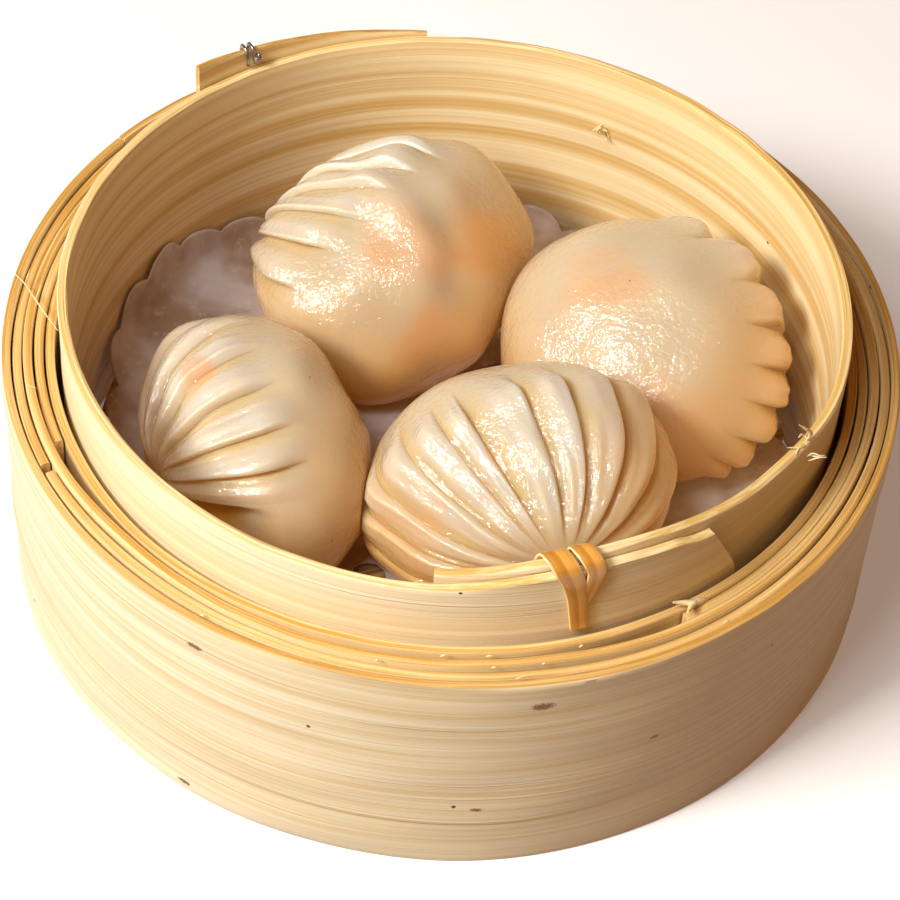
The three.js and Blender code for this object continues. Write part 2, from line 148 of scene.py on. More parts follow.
# %% Mesh helpers
def grid_faces(rows, columns):
    """Faces between the points of a grid whose last column joins its first."""
    row, column = np.meshgrid(np.arange(rows - 1), np.arange(columns), indexing="ij")
    after = (column + 1) % columns
    corners = [row * columns + column, row * columns + after]
    corners += [(row + 1) * columns + after, (row + 1) * columns + column]
    return np.stack(corners, axis=-1).reshape(-1, 4).tolist()


def tube_faces(rows, columns):
    """The faces of a grid that is closed round, with a face over each end."""
    faces = grid_faces(rows, columns)
    faces.append(list(range(columns)))
    faces.append(list(range(rows * columns - 1, (rows - 1) * columns - 1, -1)))
    return faces


def add_piece(name, points, faces, material, stands_for=(), crease_angle=60):
    mesh = bpy.data.meshes.new(name)
    mesh.from_pydata(np.asarray(points).reshape(-1, 3).tolist(), [], faces)
    mesh.polygons.foreach_set("use_smooth", [True] * len(mesh.polygons))
    mesh.set_sharp_from_angle(angle=math.radians(crease_angle))
    mesh.materials.append(material)
    mesh.validate()
    piece = bpy.data.objects.new(name, mesh)
    bpy.context.scene.collection.objects.link(piece)
    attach(piece, "root")
    if stands_for:
        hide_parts(*stands_for)
    print(f"{name}: {sum(len(face) - 2 for face in faces)} triangles")
    return piece


def paint(piece, name, values):
    """Stores one number for each point, or one triple of numbers."""
    values = np.asarray(values, np.float32)
    kind, key = ("FLOAT_VECTOR", "vector") if values.shape[-1] == 3 else ("FLOAT", "value")
    attribute = piece.data.attributes.new(name, kind, "POINT")
    attribute.data.foreach_set(key, values.ravel())


# %% [markdown]
# ## Node helpers
# A material is a small network. `fill` gives the sockets of a node their values, each either
# a number or a wire from another node, and the other helpers make one kind of node each. Effects
# that several materials share are node groups.


# %% Node helpers
def fill(tree, node, inputs):
    for key, value in inputs.items():
        if isinstance(value, bpy.types.NodeSocket):
            tree.links.new(value, node.inputs[key])
        else:
            node.inputs[key].default_value = value
    return node


def add_node(tree, kind, inputs=None, **settings):
    made = tree.nodes.new(kind)
    for key, value in settings.items():
        setattr(made, key, value)
    return fill(tree, made, inputs or {})


def maths(tree, operation, first, second=0.0):
    return add_node(tree, "ShaderNodeMath", {0: first, 1: second}, operation=operation).outputs[0]


def blend_colour(tree, share, first, second, way="MIX"):
    """Mixes two colours by a share from 0 to 1."""
    inputs = {0: share, 6: first, 7: second}
    settings = {"data_type": "RGBA", "blend_type": way}
    return add_node(tree, "ShaderNodeMix", inputs, **settings).outputs[2]


def ramp(tree, value, low, high, to_low=0.0, to_high=1.0):
    """Stretches the part of a value between low and high over another range."""
    inputs = {0: value, 1: low, 2: high, 3: to_low, 4: to_high}
    return add_node(tree, "ShaderNodeMapRange", inputs, interpolation_type="SMOOTHSTEP").outputs[0]


def noise(tree, where, scale, detail=2.0, rough=0.5):
    inputs = {"Vector": where, "Scale": scale, "Detail": detail, "Roughness": rough}
    return add_node(tree, "ShaderNodeTexNoise", inputs).outputs[0]


def stretched(tree, where, scale):
    """The same place with each axis scaled by its own amount."""
    inputs = {0: where, 1: scale}
    return add_node(tree, "ShaderNodeVectorMath", inputs, operation="MULTIPLY").outputs[0]


def bump(tree, height, strength, distance):
    """A shading direction that leans as if the surface had this relief."""
    inputs = {"Height": height, "Strength": strength, "Distance": distance}
    return add_node(tree, "ShaderNodeBump", inputs).outputs[0]


def start_group(name, inputs, outputs):
    """A new node group with its input and output nodes. Each input has a name, kind and value."""
    group = bpy.data.node_groups.new(name, "ShaderNodeTree")
    for title, kind, value in inputs:
        socket = group.interface.new_socket(title, in_out="INPUT", socket_type="NodeSocket" + kind)
        if value is not None:
            socket.default_value = value
    for title, kind in outputs:
        group.interface.new_socket(title, in_out="OUTPUT", socket_type="NodeSocket" + kind)
    return group, group.nodes.new("NodeGroupInput"), group.nodes.new("NodeGroupOutput")


def place_group(tree, group, inputs):
    return add_node(tree, "ShaderNodeGroup", inputs, node_tree=group)


def start_material(name, **constants):
    """A material with its Principled shader. constants are set on the shader's own sockets."""
    material = bpy.data.materials.new(name)
    material.use_nodes = True
    tree = material.node_tree
    values = {key.replace("_", " "): value for key, value in constants.items()}
    return material, tree, fill(tree, tree.nodes["Principled BSDF"], values)


def attribute(tree, name):
    """Values that a mesh stores under a name: Fac for a number, Vector for a triple."""
    return add_node(tree, "ShaderNodeAttribute", attribute_name=name)


def object_place(tree):
    return add_node(tree, "ShaderNodeTexCoord").outputs["Object"]


# %% [markdown]
# ## Shared effect: bamboo fibre
# Split bamboo shows straight fibres that run the whole length of a strip. On its faces they are
# fine streaks, on its cut edge they are short lines, and on a cut end they are dots. All three
# come from one solid texture that is stretched along the strip, read at a place that each mesh
# stores: x runs along the strip, y through its thickness and z up its width.

# %% Build the fibre group
FIBRE_INPUTS = [
    ("Place", "Vector", None),
    ("Pale", "Color", (0.80, 0.62, 0.36, 1)),
    ("Deep", "Color", (0.45, 0.24, 0.06, 1)),
    ("Streaks", "Float", 0.5),
    ("Bands", "Float", 0.3),
]
FIBRE_OUTPUTS = [("Colour", "Color"), ("Height", "Float")]
fibre_group, source, result = start_group("bamboo fibre", FIBRE_INPUTS, FIBRE_OUTPUTS)


def grain_noise(along, across, detail, rough):
    """Noise with so many waves to the metre along the strip and across it."""
    place = stretched(fibre_group, source.outputs["Place"], (along, across, across))
    return noise(fibre_group, place, 1.0, detail, rough)


fine = grain_noise(8, 1500, 3.0, 0.6)
hair = grain_noise(25, 4800, 2.0, 0.6)
broad = grain_noise(2.5, 330, 2.0, 0.5)
cloud = grain_noise(22, 40, 3.0, 0.55)
dark_line = ramp(fibre_group, grain_noise(5, 1000, 2.0, 0.6), 0.64, 0.76)
streak = ramp(fibre_group, hair, 0.4, 0.75, 0, 0.5)
streak = maths(fibre_group, "ADD", ramp(fibre_group, fine, 0.35, 0.7), streak)
streak = maths(fibre_group, "MULTIPLY", streak, source.outputs["Streaks"])
band = maths(fibre_group, "MULTIPLY", ramp(fibre_group, broad, 0.38, 0.64), source.outputs["Bands"])
share = maths(fibre_group, "ADD", streak, band)
share = maths(fibre_group, "ADD", share, ramp(fibre_group, cloud, 0.4, 0.75, 0, 0.12))
share = maths(fibre_group, "ADD", share, maths(fibre_group, "MULTIPLY", dark_line, 0.35))
share = maths(fibre_group, "MINIMUM", share, 1.0)
relief = maths(fibre_group, "ADD", fine, maths(fibre_group, "MULTIPLY", hair, 0.6))
fibre_colour = blend_colour(fibre_group, share, source.outputs["Pale"], source.outputs["Deep"])
fibre_height = maths(fibre_group, "SUBTRACT", relief, dark_line)
fill(fibre_group, result, {"Colour": fibre_colour, "Height": fibre_height})
print("bamboo fibre group:", len(fibre_group.nodes), "nodes")

# %% [markdown]
# ## Shared effect: specks
# Bamboo has pores and knots, and food has pepper-fine specks. Scattered dots come from a
# Voronoi texture: the distance to the middle of a cell draws the dot, and the cell's own random
# colour decides whether that cell has one.

# %% Build the speck group
SPECK_INPUTS = [("Place", "Vector", None), ("Scale", "Float", 150.0)]
SPECK_INPUTS += [("Size", "Float", 0.06), ("Share", "Float", 0.2)]
speck_group, source, result = start_group("specks", SPECK_INPUTS, [("Mask", "Float")])
inputs = {"Vector": source.outputs["Place"], "Scale": source.outputs["Scale"]}
cells = add_node(speck_group, "ShaderNodeTexVoronoi", inputs)
lottery = add_node(speck_group, "ShaderNodeSeparateColor", {0: cells.outputs["Color"]}).outputs[0]
chosen = maths(speck_group, "LESS_THAN", lottery, source.outputs["Share"])
near = maths(speck_group, "LESS_THAN", cells.outputs["Distance"], source.outputs["Size"])
fill(speck_group, result, {"Mask": maths(speck_group, "MULTIPLY", chosen, near)})
print("speck group:", len(speck_group.nodes), "nodes")

# %% [markdown]
# ## Shared effect: knot mark
# Here and there a small knot in the bamboo was cut through. The mask is 1 at one place on the
# strip and falls off within its size. It is pulled out along the grain, and noise makes its
# outline ragged.

# %% Build the knot mark group
MARK_INPUTS = [("Place", "Vector", None), ("Middle", "Vector", None), ("Size", "Float", 0.001)]
mark_group, source, result = start_group("knot mark", MARK_INPUTS, [("Mask", "Float")])
inputs = {0: source.outputs["Place"], 1: source.outputs["Middle"]}
away = add_node(mark_group, "ShaderNodeVectorMath", inputs, operation="SUBTRACT")
squeezed = stretched(mark_group, away.outputs[0], (0.45, 0.2, 1.0))
length = add_node(mark_group, "ShaderNodeVectorMath", {0: squeezed}, operation="LENGTH")
near = maths(mark_group, "DIVIDE", length.outputs["Value"], source.outputs["Size"])
near = maths(mark_group, "ADD", near, noise(mark_group, source.outputs["Place"], 1800.0, 2.0))
fill(mark_group, result, {"Mask": ramp(mark_group, near, 0.9, 1.5, 1.0, 0.0)})
print("knot mark group:", len(mark_group.nodes), "nodes")

# %% [markdown]
# ## Bamboo materials
# The strips are all bamboo, but their outer face, inner face and cut edge differ. The mesh stores
# `inside`, which is 1 on the inner face, and `edge`, which is 1 on the cut top edge, where the
# open fibre is more golden. Each of the three gets a pale and a deep colour, and the fibre group
# streaks the one with the other. Knot marks and pores go on top. A knot mark is given by its
# angle round the basket, its height and its size, and turned into a place along the strip.


# %% Make the bamboo materials
def bamboo(name, skin, inner, cut, streaks=0.4, bands=0.3, roughness=0.45, relief=0.5, marks=()):
    """skin, inner and cut are the pale and deep colours of the faces and the cut edge."""
    material, tree, shader = start_material(name, Specular_IOR_Level=0.35)
    place = attribute(tree, "grain").outputs["Vector"]

    def fibres(pair, streaks, bands):
        pale, deep = ((*colour, 1) for colour in pair)
        values = {"Place": place, "Pale": pale, "Deep": deep, "Streaks": streaks, "Bands": bands}
        return place_group(tree, fibre_group, values)

    face = fibres(skin, streaks, bands)
    colour, height = face.outputs["Colour"], face.outputs["Height"]
    inside = attribute(tree, "inside").outputs["Fac"]
    colour = blend_colour(tree, inside, colour, fibres(inner, 0.3, 0.75).outputs["Colour"])
    edge = attribute(tree, "edge").outputs["Fac"]
    colour = blend_colour(tree, edge, colour, fibres(cut, 0.7, 0.5).outputs["Colour"])
    for middle, size in marks:
        mark = place_group(tree, mark_group, {"Place": place, "Middle": middle, "Size": size})
        colour = blend_colour(tree, mark.outputs["Mask"], colour, KNOT_BROWN)
    values = {"Place": place, "Scale": 240.0, "Size": 0.09, "Share": 0.03}
    pores = place_group(tree, speck_group, values)
    colour = blend_colour(tree, pores.outputs["Mask"], colour, PORE_BROWN)
    gloss = ramp(tree, height, 0, 1.2, roughness + 0.1, roughness - 0.1)
    normal = bump(tree, height, relief, 0.15 * MM)
    fill(tree, shader, {"Base Color": colour, "Roughness": gloss, "Normal": normal})
    return material


CREAM = ((0.95, 0.86, 0.64), (0.75, 0.58, 0.31))
GOLD = ((0.93, 0.81, 0.51), (0.70, 0.46, 0.16))
HONEY = ((0.84, 0.62, 0.28), (0.52, 0.27, 0.05))
WHEAT = ((0.95, 0.80, 0.48), (0.68, 0.43, 0.12))
# painted shade: dark bamboo colours for the slats, which lie in shadow
SHADED = ((0.62, 0.40, 0.16), (0.34, 0.17, 0.05))
KNOT_BROWN = (0.22, 0.10, 0.03, 1)
PORE_BROWN = (0.10, 0.04, 0.01, 1)
OUTER_START = 146  # degrees at which the outermost strip starts
OUTER_SEED = 21
SEED_SHIFT = 0.37  # how far apart the fibre places of two strips lie, so that none look alike
MARKS = [  # angle in degrees, height and size in millimetres
    (242.0, 42.6, 0.9), (239.9, 2.0, 0.8), (284.5, 43.6, 1.2), (299.8, 27.4, 0.6), (277.8, 15.6, 0.6),
]
marks = []
for angle, level, size in MARKS:
    along = math.radians(angle - OUTER_START) * (OUTER_RADIUS - BAND_THICKNESS)
    marks.append(((along + OUTER_SEED * SEED_SHIFT, BAND_THICKNESS, level * MM), size * MM))
bamboo_outer = bamboo("bamboo_outer", CREAM, GOLD, HONEY, 0.75, 0.2, roughness=0.5, marks=marks)
bamboo_hoop = bamboo("bamboo_hoop", CREAM, GOLD, WHEAT)
bamboo_bands = bamboo("bamboo_bands", GOLD, GOLD, HONEY)
# the floor's dark colours are painted shade
bamboo_floor = bamboo("bamboo_floor", SHADED, SHADED, SHADED, streaks=0.6, roughness=0.6, relief=0.7)
print("bamboo materials: 4, knot marks:", len(marks))

# %% [markdown]
# ## Bent strips
# Every ring of the basket is one flat bamboo strip bent into a circle. A modeller could bend
# a long box with a curve modifier, but the tops are uneven, the ends overlap and the section has
# small rounded corners, so it is simpler to place the points of the section at each angle.
# The section is a loop: up the outside, over the rounded top, down the inside, under the bottom.


# %% Section and strip builder
CORNER = 0.32 * MM  # rounding of a strip's long corners
LAP_RISE = 3.0 * MM  # how far the hoop's top stands up in its lap


def strip_section(thickness, height_steps, top_steps=6):
    """Points of a section: share of the thickness, share of the height, and a lift in metres."""
    corner = CORNER / thickness
    quarter = np.radians([0, 30, 60, 90])
    outside = [(1.0, level, 0.0) for level in np.linspace(0.03, 0.97, height_steps)]
    top = [(1 - corner + corner * math.cos(a), 1.0, CORNER * (math.sin(a) - 1)) for a in quarter]
    top += [(out, 1.0, 0.0) for out in np.linspace(1 - corner, corner, top_steps)[1:-1]]
    top += [(corner - corner * math.sin(a), 1.0, CORNER * (math.cos(a) - 1)) for a in quarter]
    inside = [(0.0, level, 0.0) for level in np.linspace(0.97, 0.03, height_steps)]
    bottom = [(corner - corner * math.cos(a), 0.0, CORNER * (1 - math.sin(a))) for a in quarter]
    bottom += [(1 - corner + corner * math.sin(a), 0.0, CORNER * (1 - math.cos(a))) for a in quarter]
    return np.array(outside + top + inside + bottom).T


def bent_strip(name, ends, inner, thickness, bottom, top, material, slot, node, step=0.9 * MM,
               height_steps=9, seed=1, cut=None, ragged=0.05 * MM, wavy=0.10 * MM):
    """ends are the first and last angle; inner, bottom and top are functions of the angle."""
    out, level, lift = strip_section(thickness, height_steps)
    mean_radius = inner(np.array([ends[0]]))[0]
    rows = int(math.radians(ends[1] - ends[0]) * mean_radius / step)
    angle = np.linspace(*ends, rows)[:, None]
    along = np.radians(angle - ends[0]) * mean_radius
    height = mix(bottom(angle), top(angle), level) + lift
    depth = out * thickness + 0 * angle
    along = along + 0 * height
    turned = angle + 0 * height
    if cut is not None:  # the end is cut aslant above one height
        above = np.clip((height - cut["above"]) / (RIM_HEIGHT + LAP_RISE - cut["above"]), 0, 1)
        turned = turned - cut["lean"] * above * smooth(turned, ends[1] - 2 * cut["lean"], ends[1])
    place = np.stack([along, depth, height], axis=-1)
    on_top = smooth(level + 0 * height, 0.98, 1.0) * smooth(lift + 0 * height, -CORNER, 0)
    fibres = waves(place[..., :2], (26 * MM, 0.5 * MM), seed) * ragged
    height = height + on_top * (fibres + waves(along[..., None], (16 * MM,), seed + 1) * ragged)
    face = waves(np.stack([along, height], -1), (60 * MM, 9 * MM), seed + 2) * wavy
    radius = inner(turned) + depth + face * (1 - on_top)
    points = on_circle(turned, radius, height)
    columns = points.shape[1]
    faces = tube_faces(rows, columns)
    piece = add_piece(name, points, faces, material, [node], crease_angle=50)
    paint(piece, "grain", place.reshape(-1, 3) + np.array([seed * SEED_SHIFT, 0, 0]))
    paint(piece, "edge", on_top.reshape(-1, 1))
    paint(piece, "inside", (1 - smooth(out + 0 * height, 0.02, 0.3)).reshape(-1, 1))
    return piece


# %% [markdown]
# ## The inner hoop
# The inner hoop is one long strip. It starts inside its own lap at the front, runs once round and
# ends outside the lap with a slanting cut. In the lap the start is pushed inwards by one
# thickness, and both layers stand a little higher there.

# %% Make the inner hoop
LAP_START, LAP_END = -90, 316
LAP_DEPTH = HOOP_THICKNESS + GAP
END_LEAN = 7  # degrees that the top of the slanting cut lies behind its foot
START_RISE = 1.2 * MM  # how far the strip's start stands up behind the lap


def hoop_inner(angle):
    return HOOP_RADIUS - HOOP_THICKNESS - LAP_DEPTH * (1 - smooth(angle, -38, -14))


def hoop_top(angle):
    lap_rise = LAP_RISE * bump_at(angle, -66, 30)
    start_rise = START_RISE * (1 - smooth(angle, -60, -15))
    return RIM_HEIGHT + lap_rise + start_rise + BAND_WAVE * np.sin(np.radians(2 * angle + 40))


bent_strip(
    "hoop_strip", (LAP_START, LAP_END), hoop_inner, HOOP_THICKNESS, lambda a: HOOP_BOTTOM + 0 * a,
    hoop_top, bamboo_hoop, "bamboo_hoop", "inner_hoop", step=0.7 * MM, height_steps=16, seed=11,
    cut={"above": BAND_HEIGHT - 1 * MM, "lean": END_LEAN}, ragged=0.07 * MM,
)

# %% [markdown]
# ## The outer bands
# Five strips lie round the hoop, one outside the other, and stiffen the basket. At the front one
# of them has ended, so only four lie side by side there and the gaps are wider. They swell at
# the back, where a short strip is pushed in behind the hoop. In the list, `place` counts inwards
# where there are five, `front` counts where there are four, `start` and `span` are in degrees
# and `lower` is how many millimetres the strip's top lies below the highest.

# %% Make the outer bands
BAND_PITCH = 1.95 * MM  # from one band to the next where five lie side by side
FRONT_PITCH = 2.5 * MM  # the same where only four do
FRONT_FROM, FRONT_TO = 208, 304
EASE = 22  # degrees over which the pitch changes
BACK_SWELL = 1.1 * MM
FOOT_STEP = 0.25 * MM  # each strip stands a little higher than the one outside it


def front_share(angle):
    turned = angle % 360
    begun = smooth(turned, FRONT_FROM, FRONT_FROM + EASE)
    return begun * (1 - smooth(turned, FRONT_TO - EASE, FRONT_TO))


def back_swell(angle):
    return BACK_SWELL * bump_at(angle, 118, 44)


BANDS = [
    {"name": "outer_band", "place": 0, "front": 0, "start": OUTER_START, "span": 359.6, "lower": 0.0},
    {"name": "second_band", "place": 1, "front": 1, "start": 211.2, "span": 358.6, "lower": 0.6},
    {"name": "third_band", "place": 2, "front": 2, "start": 80, "span": 359.5, "lower": 0.1},
    {"name": "fourth_band", "place": 3, "front": 3, "start": 304.5, "span": 262, "lower": 0.9},
    {"name": "fifth_band", "place": 4, "front": 3, "start": 60, "span": 359.5, "lower": 0.4},
]


def make_band(band):
    place = band["place"]

    def inner(angle):
        inward = mix(place * BAND_PITCH, band["front"] * FRONT_PITCH, front_share(angle))
        return OUTER_RADIUS - inward - BAND_THICKNESS + back_swell(angle)

    def top(angle):
        rise = BAND_WAVE * np.sin(np.radians(3 * angle + 90 * place))
        return BAND_HEIGHT - band["lower"] * MM + rise

    material, slot = bamboo_bands, "bamboo_bands"
    fineness = {"step": 1.1 * MM, "height_steps": 6, "wavy": 0.06 * MM}
    if place == 0:  # the outermost strip shows its whole face
        material, slot = bamboo_outer, "bamboo_outer"
        fineness = {"step": 0.9 * MM, "height_steps": 14, "wavy": 0.16 * MM}
    bent_strip(
        band["name"].replace("band", "strip"), (band["start"], band["start"] + band["span"]), inner,
        BAND_THICKNESS, lambda angle: FOOT_STEP * place + 0 * angle, top, material, slot,
        band["name"], seed=OUTER_SEED + place, **fineness,
    )


for band in BANDS:
    make_band(band)

# %% [markdown]
# ## The binding strip
# A short offcut is slipped behind the hoop at the back left. It stands proud of the rim at its
# cut end and sinks to the rim's level at the other.

# %% Make the binding strip
BINDING_FROM, BINDING_TO = 98, 137
BINDING_RISE = 5.0 * MM
BINDING_THICKNESS = 1.1 * MM
BINDING_FOOT = 30 * MM


def binding_top(angle):
    return RIM_HEIGHT + BINDING_RISE * (angle - BINDING_FROM) / (BINDING_TO - BINDING_FROM)


bent_strip(
    "binding_strip", (BINDING_FROM, BINDING_TO), lambda angle: HOOP_RADIUS + GAP + 0 * angle,
    BINDING_THICKNESS, lambda angle: BINDING_FOOT + 0 * angle, binding_top, bamboo_bands, "bamboo_bands",
    "back_binding", seed=31, height_steps=10, wavy=0.0,
)

# %% [markdown]
# ## Strands
# The cane lashing, the wire, loose fibres and splinters are all strands: a section carried along
# a path. A short path is drawn as a few points, and a Catmull-Rom curve rounds it. The section
# can be flat or round, and it can taper to a point.


# %% Strand helpers
def rounded_path(points, per_span=8):
    """A smooth path through the points, with per_span steps between each pair."""
    points = np.asarray(points, float)
    padded = np.vstack([2 * points[0] - points[1], points, 2 * points[-1] - points[-2]])
    path = []
    for p0, p1, p2, p3 in zip(padded, padded[1:], padded[2:], padded[3:]):
        for t in np.arange(per_span) / per_span:
            bend = 2 * p1 + (p2 - p0) * t + (2 * p0 - 5 * p1 + 4 * p2 - p3) * t**2
            path.append((bend + (3 * p1 - p0 - 3 * p2 + p3) * t**3) / 2)
    return np.array(path + [points[-1]])


def strand(path, across, widths, thickness, sides=12, flatness=1.0):
    """Points and faces of a strand. across is its width direction, one or one for each step."""
    steps = len(path)
    forward = np.gradient(path, axis=0)
    forward /= np.linalg.norm(forward, axis=1)[:, None]
    across = np.broadcast_to(np.asarray(across, float), path.shape)
    side = across - forward * np.sum(across * forward, axis=1)[:, None]
    side /= np.linalg.norm(side, axis=1)[:, None]
    outward = np.cross(forward, side)
    turn = np.linspace(0, 2 * np.pi, sides, endpoint=False)
    wide = np.sign(np.cos(turn)) * np.abs(np.cos(turn)) ** flatness
    high = np.sign(np.sin(turn)) * np.abs(np.sin(turn)) ** flatness
    widths = np.broadcast_to(widths, (steps,))[:, None, None]
    thickness = np.broadcast_to(thickness, (steps,))[:, None, None]
    points = path[:, None] + side[:, None] * wide[None, :, None] * widths / 2
    points = points + outward[:, None] * high[None, :, None] * thickness / 2
    return points.reshape(-1, 3), tube_faces(steps, sides)


def joined(parts):
    """Joins several (points, faces) pairs into one."""
    points, faces, first = [], [], 0
    for some_points, some_faces in parts:
        points.append(some_points)
        faces += [[corner + first for corner in face] for face in some_faces]
        first += len(some_points)
    return np.vstack(points), faces


# %% [markdown]
# ## The cane lashing
# A split of glossy cane goes twice over the rim and holds the lap together. The wide turn hangs
# straight down to the bands, and the narrow turn curves in under it. Cane is smooth and varnished
# on the outside, with pale edges where it was split and faint marks across it.

# %% Make the cane material and the lashing
cane, tree, shader = start_material("cane", Roughness=0.32, Coat_Weight=0.5, Coat_Roughness=0.2)
values = {
    "Place": attribute(tree, "grain").outputs["Vector"], "Pale": (0.80, 0.43, 0.09, 1),
    "Deep": (0.52, 0.21, 0.025, 1), "Streaks": 0.6, "Bands": 0.4,
}
cane_fibre = place_group(tree, fibre_group, values)
cane_edge = attribute(tree, "edge").outputs["Fac"]
cane_colour = blend_colour(tree, cane_edge, cane_fibre.outputs["Colour"], (0.95, 0.76, 0.40, 1))
cane_normal = bump(tree, cane_fibre.outputs["Height"], 0.5, 0.1 * MM)
fill(tree, shader, {"Base Color": cane_colour, "Normal": cane_normal})

CANE_MIDDLE = math.radians(-71)  # where round the rim the lashing sits
CANE_THICKNESS = 0.75 * MM
CANE_SIDES = 20
INSIDE = HOOP_RADIUS - HOOP_THICKNESS - LAP_DEPTH - 0.5 * MM
OUTSIDE = HOOP_RADIUS + 0.45 * MM
# Each turn: (angle, radius, height) from its foot outside, over the rim, to its foot inside.
WIDE_TURN = [
    (-69.9, OUTSIDE, 50.0), (-70.3, OUTSIDE, 54), (-70.8, OUTSIDE, 58.5), (-71.6, OUTSIDE, 62.4),
    (-72.5, OUTSIDE - 0.6 * MM, 64.9), (-73.3, OUTSIDE - 2.6 * MM, 65.9),
    (-73.9, INSIDE + 0.7 * MM, 65.4), (-74.3, INSIDE, 63.0), (-74.6, INSIDE, 58), (-74.9, INSIDE, 52),
]
NARROW_TURN = [
    (-70.3, OUTSIDE - 0.2 * MM, 53.6), (-69.5, OUTSIDE - 0.2 * MM, 56.5), (-68.7, OUTSIDE, 60.5),
    (-68.4, OUTSIDE, 63.6), (-68.9, OUTSIDE - 0.6 * MM, 65.6), (-69.6, OUTSIDE - 2.6 * MM, 66.4),
    (-70.0, INSIDE + 0.7 * MM, 65.8), (-70.2, INSIDE, 63.0), (-70.2, INSIDE, 58), (-70.0, INSIDE, 52),
]


def make_turn(name, node, route, widths):
    """widths are in millimetres, evenly spaced from the foot outside to the foot inside."""
    path = rounded_path([on_circle(angle, radius, height * MM) for angle, radius, height in route])
    across = (-math.sin(CANE_MIDDLE), math.cos(CANE_MIDDLE), 0)
    share = np.linspace(0, 1, len(path))
    width = np.interp(share, np.linspace(0, 1, len(widths)), widths) * MM
    points, faces = strand(path, across, width, CANE_THICKNESS, CANE_SIDES, flatness=0.62)
    piece = add_piece(name, points, faces, cane, [node])
    length = np.linspace(0, len(path) * 0.6 * MM, len(path))[:, None]
    spread = np.cos(np.linspace(0, 2 * np.pi, CANE_SIDES, endpoint=False))[None, :]
    place = np.stack(np.broadcast_arrays(length, spread * 2 * MM, 0 * spread), -1)
    paint(piece, "grain", place.reshape(-1, 3))
    split = np.broadcast_to(smooth(np.abs(spread), 0.86, 0.99), place.shape[:2])
    paint(piece, "edge", split.reshape(-1, 1))


make_turn("cane_turn_wide", "cane_lashing_wide", WIDE_TURN, [3.2, 3.6, 4.2, 4.5, 4.4, 4.2])
make_turn("cane_turn_narrow", "cane_lashing_narrow", NARROW_TURN, [2.0, 3.0, 3.4, 3.6, 3.6, 3.4])

# %% [markdown]
# ## The wire stitch
# Two turns of steel wire hook the binding strip to the rim. Round wire is a round strand, and the
# cut end is twisted into a small bright knot.

# %% Make the wire
steel, tree, shader = start_material("steel_wire", Metallic=1.0, Roughness=0.35)
place = object_place(tree)
tarnish = noise(tree, place, 900.0, 3.0)
dulled = ramp(tree, tarnish, 0.35, 0.7)
steel_colour = blend_colour(tree, dulled, (0.55, 0.55, 0.58, 1), (0.20, 0.18, 0.17, 1))
steel_gloss = ramp(tree, tarnish, 0.3, 0.7, 0.25, 0.5)
fill(tree, shader, {"Base Color": steel_colour, "Roughness": steel_gloss})

WIRE = 0.7 * MM  # diameter
WIRE_ANGLES = [127.1, 128.3]
wire_outside = HOOP_RADIUS + GAP + BINDING_THICKNESS + WIRE / 2
wire_inside = HOOP_RADIUS - WIRE / 2


def wire_turn(angle, twisted):
    crest = binding_top(angle) + WIRE
    heights = [50.5 * MM, 56 * MM, crest - 1 * MM, crest, crest - 0.6 * MM, RIM_HEIGHT + 1.2 * MM]
    radii = [wire_outside] * 3 + [(wire_inside + wire_outside) / 2]
    radii += [wire_inside, wire_inside - 0.4 * MM]
    path = rounded_path([on_circle(angle, radius, height) for radius, height in zip(radii, heights)])
    parts = [strand(path, on_circle(angle + 90, 1.0, 0.0), WIRE, WIRE, 10)]
    if twisted:
        turns = np.linspace(0, 2.5 * 2 * np.pi, 40)
        start = on_circle(angle - 0.4, wire_inside - 0.6 * MM, RIM_HEIGHT + 2.0 * MM)
        knot = start + np.stack([np.cos(turns), np.sin(turns), turns / 9], axis=-1) * 0.55 * MM
        parts.append(strand(knot, (0, 0, 1), 0.5 * MM, 0.5 * MM, 8))
    return joined(parts)


for index, angle in enumerate(WIRE_ANGLES):
    points, faces = wire_turn(angle, index == 0)
    add_piece(f"wire_turn_{index + 1}", points, faces, steel, [f"wire_stitch_{index + 1}"])

# %% [markdown]
# ## The slatted floor
# Steam comes up between bamboo slats. A slat is a plank whose ends follow the round wall, so each
# end is a short arc. Two battens run across beneath. Most of this floor is hidden by the paper,
# but it shows through the gaps and from below, and its dark colour is painted shade.

# %% Make the slats and battens
FLOOR_TURN = math.radians(24)
SLAT_COUNT, SLAT_PITCH, SLAT_WIDTH = 11, 11.6 * MM, 8.2 * MM
BATTEN_OFFSET, BATTEN_WIDTH, BATTEN_REACH = 30 * MM, 9 * MM, 62.5 * MM


def plank(name, node, offset, width, low, high, reach, turn, seed):
    """A plank along its own x axis with rounded edges and ends that follow a circle."""
    out, level, lift = strip_section(width, 3)
    height = mix(low, high, level) + lift
    across = offset + (out - 0.5) * width
    end = np.sqrt(reach**2 - across**2)
    share = np.linspace(-1, 1, 60)[:, None]
    along = share * end
    depth = across + 0 * along
    uneven = waves(np.stack([along, depth], -1), (25 * MM, 3 * MM), seed) * (level > 0.5)
    rise = height + 0.12 * MM * uneven
    c, s = math.cos(turn), math.sin(turn)
    points = np.stack([along * c - depth * s, along * s + depth * c, rise], -1)
    faces = [face[::-1] for face in tube_faces(*points.shape[:2])]
    piece = add_piece(name, points, faces, bamboo_floor, [node])
    paint(piece, "grain", np.stack([along + seed, depth, height + 0 * along], -1).reshape(-1, 3))
    paint(piece, "edge", np.zeros((along.size, 1)))


